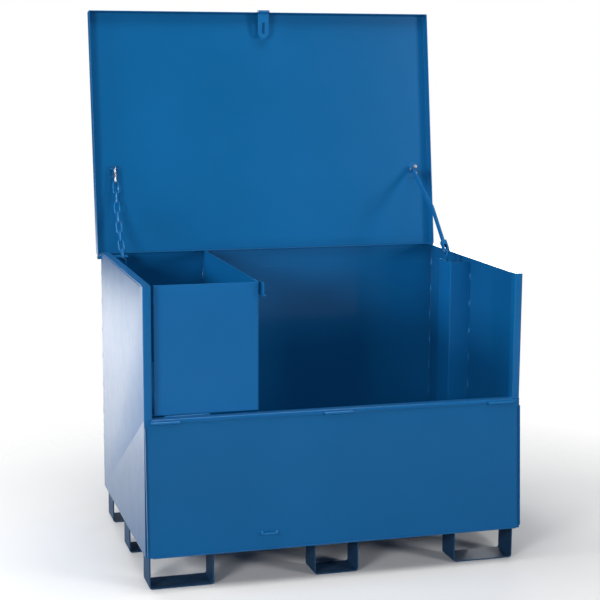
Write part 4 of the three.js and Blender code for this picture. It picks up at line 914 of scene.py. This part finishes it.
# %% Beads on the flap
FLAP_OFFSET, FLAP_SHEET = 0.005, 0.002
KEEPER_FEET, KEEPER_HEIGHT, KEEPER_HALF = (-0.246, -0.200), 0.873, 0.005
PADLOCK_EYE_HEIGHT, PADLOCK_EYE_HALF = 0.8265, 0.012
KNUCKLE_STARTS, KNUCKLE_HEIGHT = (-0.582, -0.045, 0.492), 0.5205
KEEPER_BEAD = {"wide": 0.0022, "high": 0.0018}
EYE_BEAD = {"wide": 0.0009, "high": 0.0006}
KNUCKLE_BEAD = {"wide": 0.0018, "high": 0.0014}
flap_outer = flap_axis[1] - FLAP_OFFSET
flap_inner = flap_outer + FLAP_SHEET
flap_beads = []
for x in KEEPER_FEET:
    for rise, way in ((-0.0033, -1.0), (0.0033, 1.0)):
        left_end = (x - KEEPER_HALF, flap_inner, KEEPER_HEIGHT + rise)
        right_end = (x + KEEPER_HALF, flap_inner, KEEPER_HEIGHT + rise)
        flap_beads.append(flap_bead(left_end, right_end, (0, 1, way), **KEEPER_BEAD))
for x, way in ((-0.0035, -1.0), (0.0035, 1.0)):
    low_end = (x, flap_outer, PADLOCK_EYE_HEIGHT - PADLOCK_EYE_HALF)
    high_end = (x, flap_outer, PADLOCK_EYE_HEIGHT + PADLOCK_EYE_HALF)
    flap_beads.append(flap_bead(low_end, high_end, (way, -1, 0), **EYE_BEAD))
for x in KNUCKLE_STARTS:
    left_end = (x + 0.034, flap_outer + 0.0005, KNUCKLE_HEIGHT)
    right_end = (x + 0.056, flap_outer + 0.0005, KNUCKLE_HEIGHT)
    flap_beads.append(flap_bead(left_end, right_end, (0, -1, 1), **KNUCKLE_BEAD))
mesh_piece("flap_weld_beads", flap_beads, ROD_BLUE, "flap")
print(len(flap_beads), "beads ride on the flap")

# %% Beads on the lid
LID_FRONT, LID_RIM = -0.4148, 0.8895
CHAIN_EYE_LEFT, CHAIN_EYE_RIGHT, CHAIN_EYE_SEAT = -0.551, -0.525, 0.927
LEAF_STARTS, LEAF_STITCH = (-0.608, -0.060, 0.488), 0.024
LEAF_BACK, LEAF_SEAT = 0.4125, 0.9268
LEAF_BEAD = {"wide": 0.0026, "high": 0.0020}
lid_beads = []
for x, way in ((-0.0187, -1.0), (0.0187, 1.0)):
    low_end, high_end = (x, LID_FRONT, LID_RIM + 0.003), (x, LID_FRONT, LID_RIM + 0.023)
    lid_beads.append(lid_bead(low_end, high_end, (way, -1, 0), **FITTING_BEAD))
left_end, right_end = (-0.017, LID_FRONT, LID_RIM + 0.024), (0.017, LID_FRONT, LID_RIM + 0.024)
lid_beads.append(lid_bead(left_end, right_end, (0, -1, 1), **FITTING_BEAD))
for y, way in ((0.1205, -1.0), (0.1245, 1.0)):
    left_end, right_end = (CHAIN_EYE_LEFT, y, CHAIN_EYE_SEAT), (CHAIN_EYE_RIGHT, y, CHAIN_EYE_SEAT)
    lid_beads.append(lid_bead(left_end, right_end, (0, way, -1), **FITTING_BEAD))
for start in LEAF_STARTS:
    for shift in (0.016, 0.080):
        left_end = (start + shift, LEAF_BACK, LEAF_SEAT)
        right_end = (start + shift + LEAF_STITCH, LEAF_BACK, LEAF_SEAT)
        lid_beads.append(lid_bead(left_end, right_end, (0, 1, 1), **LEAF_BEAD))
mesh_piece("lid_weld_beads", lid_beads, ROD_BLUE, "lid")
print(len(lid_beads), "beads ride on the lid")

# %% [markdown]
# ## Bolts of the stay's bracket
#
# The bracket of the stay is held by two hexagon bolts. Each gets a chamfered head on a thin
# washer, and looks into the lid as the lid stands at rest.

# %% Bolts of the bracket
HALF_BOLT = 0.00225
WASHER_RADIUS, WASHER_THICKNESS = 0.0066, 0.0010
HEAD_SEAT, HEAD_FLAT, HEAD_LENGTH, HEAD_CHAMFER = 0.0009, 0.0047, 0.0036, 0.0010


def washer(start, axis, side, radius, thick, around=40):
    """A disc with rounded rims: rows from the middle out over the rim and back to the middle."""
    other = np.cross(axis, side)
    t = np.linspace(0.0, 2.0 * np.pi, around, endpoint=False)
    turn = np.linspace(-np.pi / 2, np.pi / 2, 7)
    radii = np.concatenate([[radius * 0.5], radius - thick / 2 + thick / 2 * np.cos(turn), [radius * 0.5]])
    depth = np.concatenate([[0.0], thick / 2 + thick / 2 * np.sin(turn), [thick]])
    ring = np.cos(t)[:, None] * side + np.sin(t)[:, None] * other
    grid = start + depth[:, None, None] * axis + radii[:, None, None] * ring[None, :, :]
    poles = np.stack([start, start + thick * axis])
    return np.concatenate([grid.reshape(-1, 3), poles]), poled_faces(len(radii), around)


lid_in = from_closed((0, 0, -1), (0, 0, 0), -lid_turn)
for end in ("upper", "lower"):
    name = f"stay_bracket_bolt_{end}"
    low, high = (np.array(corner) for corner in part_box(name))
    seat = (low + high) / 2.0 - lid_in * HALF_BOLT
    disc = washer(seat, lid_in, CROSSWISE, WASHER_RADIUS, WASHER_THICKNESS)
    head = hex_body(seat + lid_in * HEAD_SEAT, lid_in, CROSSWISE, HEAD_FLAT, HEAD_LENGTH, HEAD_CHAMFER)
    piece = mesh_piece(f"hexagon_bolt_{end}", [disc, head], ZINC, "lid")
    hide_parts(name)
print("two bolts hold the bracket")

# %% [markdown]
# ## Floor, background and light
#
# The floor is a wide pale disc. The camera sees it fade out a short way from the box, so it has no
# horizon. The world shows a white background to the camera but lights the box only faintly, which
# keeps the blue deep. Seven soft boxes do the lighting. One on each side of the front leaves the
# back panel in the shade of the bin and of the right wall. One on the left reaches over the left
# wall, one overhead fills in, and one behind the box draws the rims of the walls. The last two
# stand for the floor: one lights the floor behind, whose reflection whitens the left wall, and one
# lies in front and throws light up, but is not reflected. To all but the camera the floor in front
# has a painted shade, a dark grey, for the same reason: a pale one would grey the blue of every
# upright panel.

# %% Floor
FLOOR_RADIUS = 13.0
FLOOR_ROUGHNESS = 0.75
FADE_START, FADE_END = 0.8, 1.9
# The dark floor colour is painted shade, seen by every ray but the camera's.
PAINTED_SHADE_UNTIL, PALE_FROM = -0.8, 1.6
PAINTED_SHADE_FLOOR = (0.16, 0.17, 0.18, 1.0)
PALE_FLOOR, PALEST_FLOOR = (0.86, 0.865, 0.87, 1.0), (0.89, 0.892, 0.895, 1.0)


def floor_disc(radius, rings=24, around=96):
    """Rings whose radius grows as the square of their number, round one middle point."""
    t = np.linspace(0.0, 2.0 * np.pi, around, endpoint=False)
    r = radius * (np.arange(1, rings + 1) / rings) ** 2
    grid = np.stack([r[:, None] * np.cos(t), r[:, None] * np.sin(t), np.zeros((rings, around))], axis=-1)
    points = np.concatenate([grid.reshape(-1, 3), [[0.0, 0.0, 0.0]]])
    a, b = np.meshgrid(np.arange(rings - 1), np.arange(around), indexing='ij')
    b2 = (b + 1) % around
    corners = [a * around + b, (a + 1) * around + b, (a + 1) * around + b2, a * around + b2]
    quads = np.stack(corners, axis=-1)
    ring = np.arange(around)
    middle = np.stack([np.full(around, rings * around), ring, (ring + 1) % around], axis=-1)
    return points, quads.reshape(-1, 4).tolist() + middle.tolist()


floor_points, floor_faces = floor_disc(FLOOR_RADIUS)
floor_mesh = bpy.data.meshes.new("studio_floor")
floor_mesh.from_pydata(floor_points.tolist(), [], floor_faces)
floor_object = bpy.data.objects.new("studio_floor", floor_mesh)
bpy.context.scene.collection.objects.link(floor_object)
print("the floor is a disc", 2.0 * FLOOR_RADIUS, "m wide")

# %% Paint of the floor
floor_paint = bpy.data.materials.new("pale_floor")
floor_paint.use_nodes = True
floor_tree = floor_paint.node_tree
floor_shader = floor_tree.nodes['Principled BSDF']
floor_place = add(floor_tree, 'ShaderNodeTexCoord').outputs['Object']
clouding = window(floor_tree, noise(floor_tree, floor_place, 1.6, 3.0), 0.3, 0.7)
pale = blend_colours(floor_tree, clouding, PALE_FLOOR, PALEST_FLOOR)
floor_shader.inputs['Roughness'].default_value = FLOOR_ROUGHNESS
distance = add(floor_tree, 'ShaderNodeVectorMath', operation='LENGTH')
join(floor_tree, floor_place, distance.inputs[0])
fade = window(floor_tree, distance.outputs['Value'], FADE_START, FADE_END)
ray = add(floor_tree, 'ShaderNodeLightPath')
floor_axes = add(floor_tree, 'ShaderNodeSeparateXYZ')
join(floor_tree, floor_place, floor_axes.inputs[0])
# Painted shade: to every ray but the camera's, the floor is dark grey in front of the box and turns pale
# behind it, so the floor in front throws little light onto the box.
behind = window(floor_tree, floor_axes.outputs['Y'], PAINTED_SHADE_UNTIL, PALE_FROM)
shown = maths(floor_tree, 'MAXIMUM', behind, ray.outputs['Is Camera Ray'])
join(floor_tree, blend_colours(floor_tree, shown, PAINTED_SHADE_FLOOR, pale), floor_shader.inputs['Base Color'])
unseen = maths(floor_tree, 'MULTIPLY', fade, ray.outputs['Is Camera Ray'])
join(floor_tree, maths(floor_tree, 'SUBTRACT', 1.0, unseen), floor_shader.inputs['Alpha'])
floor_mesh.materials.append(floor_paint)
print("the floor fades out between", FADE_START, "and", FADE_END, "m")

# %% World
WORLD_STRENGTH = 0.05
WORLD_TINT = (0.90, 0.95, 1.0, 1.0)
BACKGROUND = (1.0, 1.0, 1.0, 1.0)
world = bpy.data.worlds.new("studio")
world.use_nodes = True
bpy.context.scene.world = world
sky = world.node_tree
seen = sky.nodes['Background']
seen.inputs['Color'].default_value = BACKGROUND
lit = add(sky, 'ShaderNodeBackground')
lit.inputs['Color'].default_value = WORLD_TINT
lit.inputs['Strength'].default_value = WORLD_STRENGTH
who = add(sky, 'ShaderNodeLightPath')
either = add(sky, 'ShaderNodeMixShader')
join(sky, who.outputs['Is Camera Ray'], either.inputs[0])
join(sky, lit.outputs[0], either.inputs[1])
join(sky, seen.outputs[0], either.inputs[2])
join(sky, either.outputs[0], sky.nodes['World Output'].inputs['Surface'])
print("the world lights the box with a strength of", WORLD_STRENGTH)


# %% Soft boxes
def soft_box(name, place, target, size, power):
    """A rectangle of light, width by height in metres, that looks from its place at the target."""
    data = bpy.data.lights.new(name, 'AREA')
    data.shape = 'RECTANGLE'
    data.size, data.size_y = size
    data.energy = power
    made = bpy.data.objects.new(name, data)
    bpy.context.scene.collection.objects.link(made)
    aim = Vector(target) - Vector(place)
    made.matrix_world = Matrix.Translation(place) @ aim.to_track_quat('-Z', 'Y').to_matrix().to_4x4()
    made.visible_camera = False
    return made


soft_box("front_left", place=(-3.9, -4.1, 1.9), target=(0.0, 0.0, 0.75), size=(1.4, 1.2), power=140.0)
soft_box("front_right", place=(3.8, -4.2, 1.7), target=(0.0, 0.0, 0.75), size=(1.4, 1.2), power=116.0)
soft_box("side_left", place=(-4.7, -0.3, 2.2), target=(0.0, 0.0, 0.8), size=(1.8, 1.0), power=140.0)
soft_box("rear_right", place=(2.9, 5.5, 1.8), target=(0.0, 0.0, 0.9), size=(2.6, 1.4), power=50.0)
soft_box("overhead", place=(0.2, -1.4, 4.4), target=(0.0, -0.8, 0.0), size=(3.0, 2.2), power=88.0)
soft_box("rear_floor", place=(-1.6, 5.2, 2.8), target=(-1.6, 5.2, 0.0), size=(2.6, 5.4), power=200.0)
floor_light = soft_box("floor_light", place=(-0.4, -2.6, 0.03), target=(-0.4, -2.3, 1.0),
                       size=(3.6, 2.6), power=80.0)
floor_light.visible_glossy = False
bpy.context.scene.view_settings.view_transform = 'Standard'
print("seven soft boxes are hung")
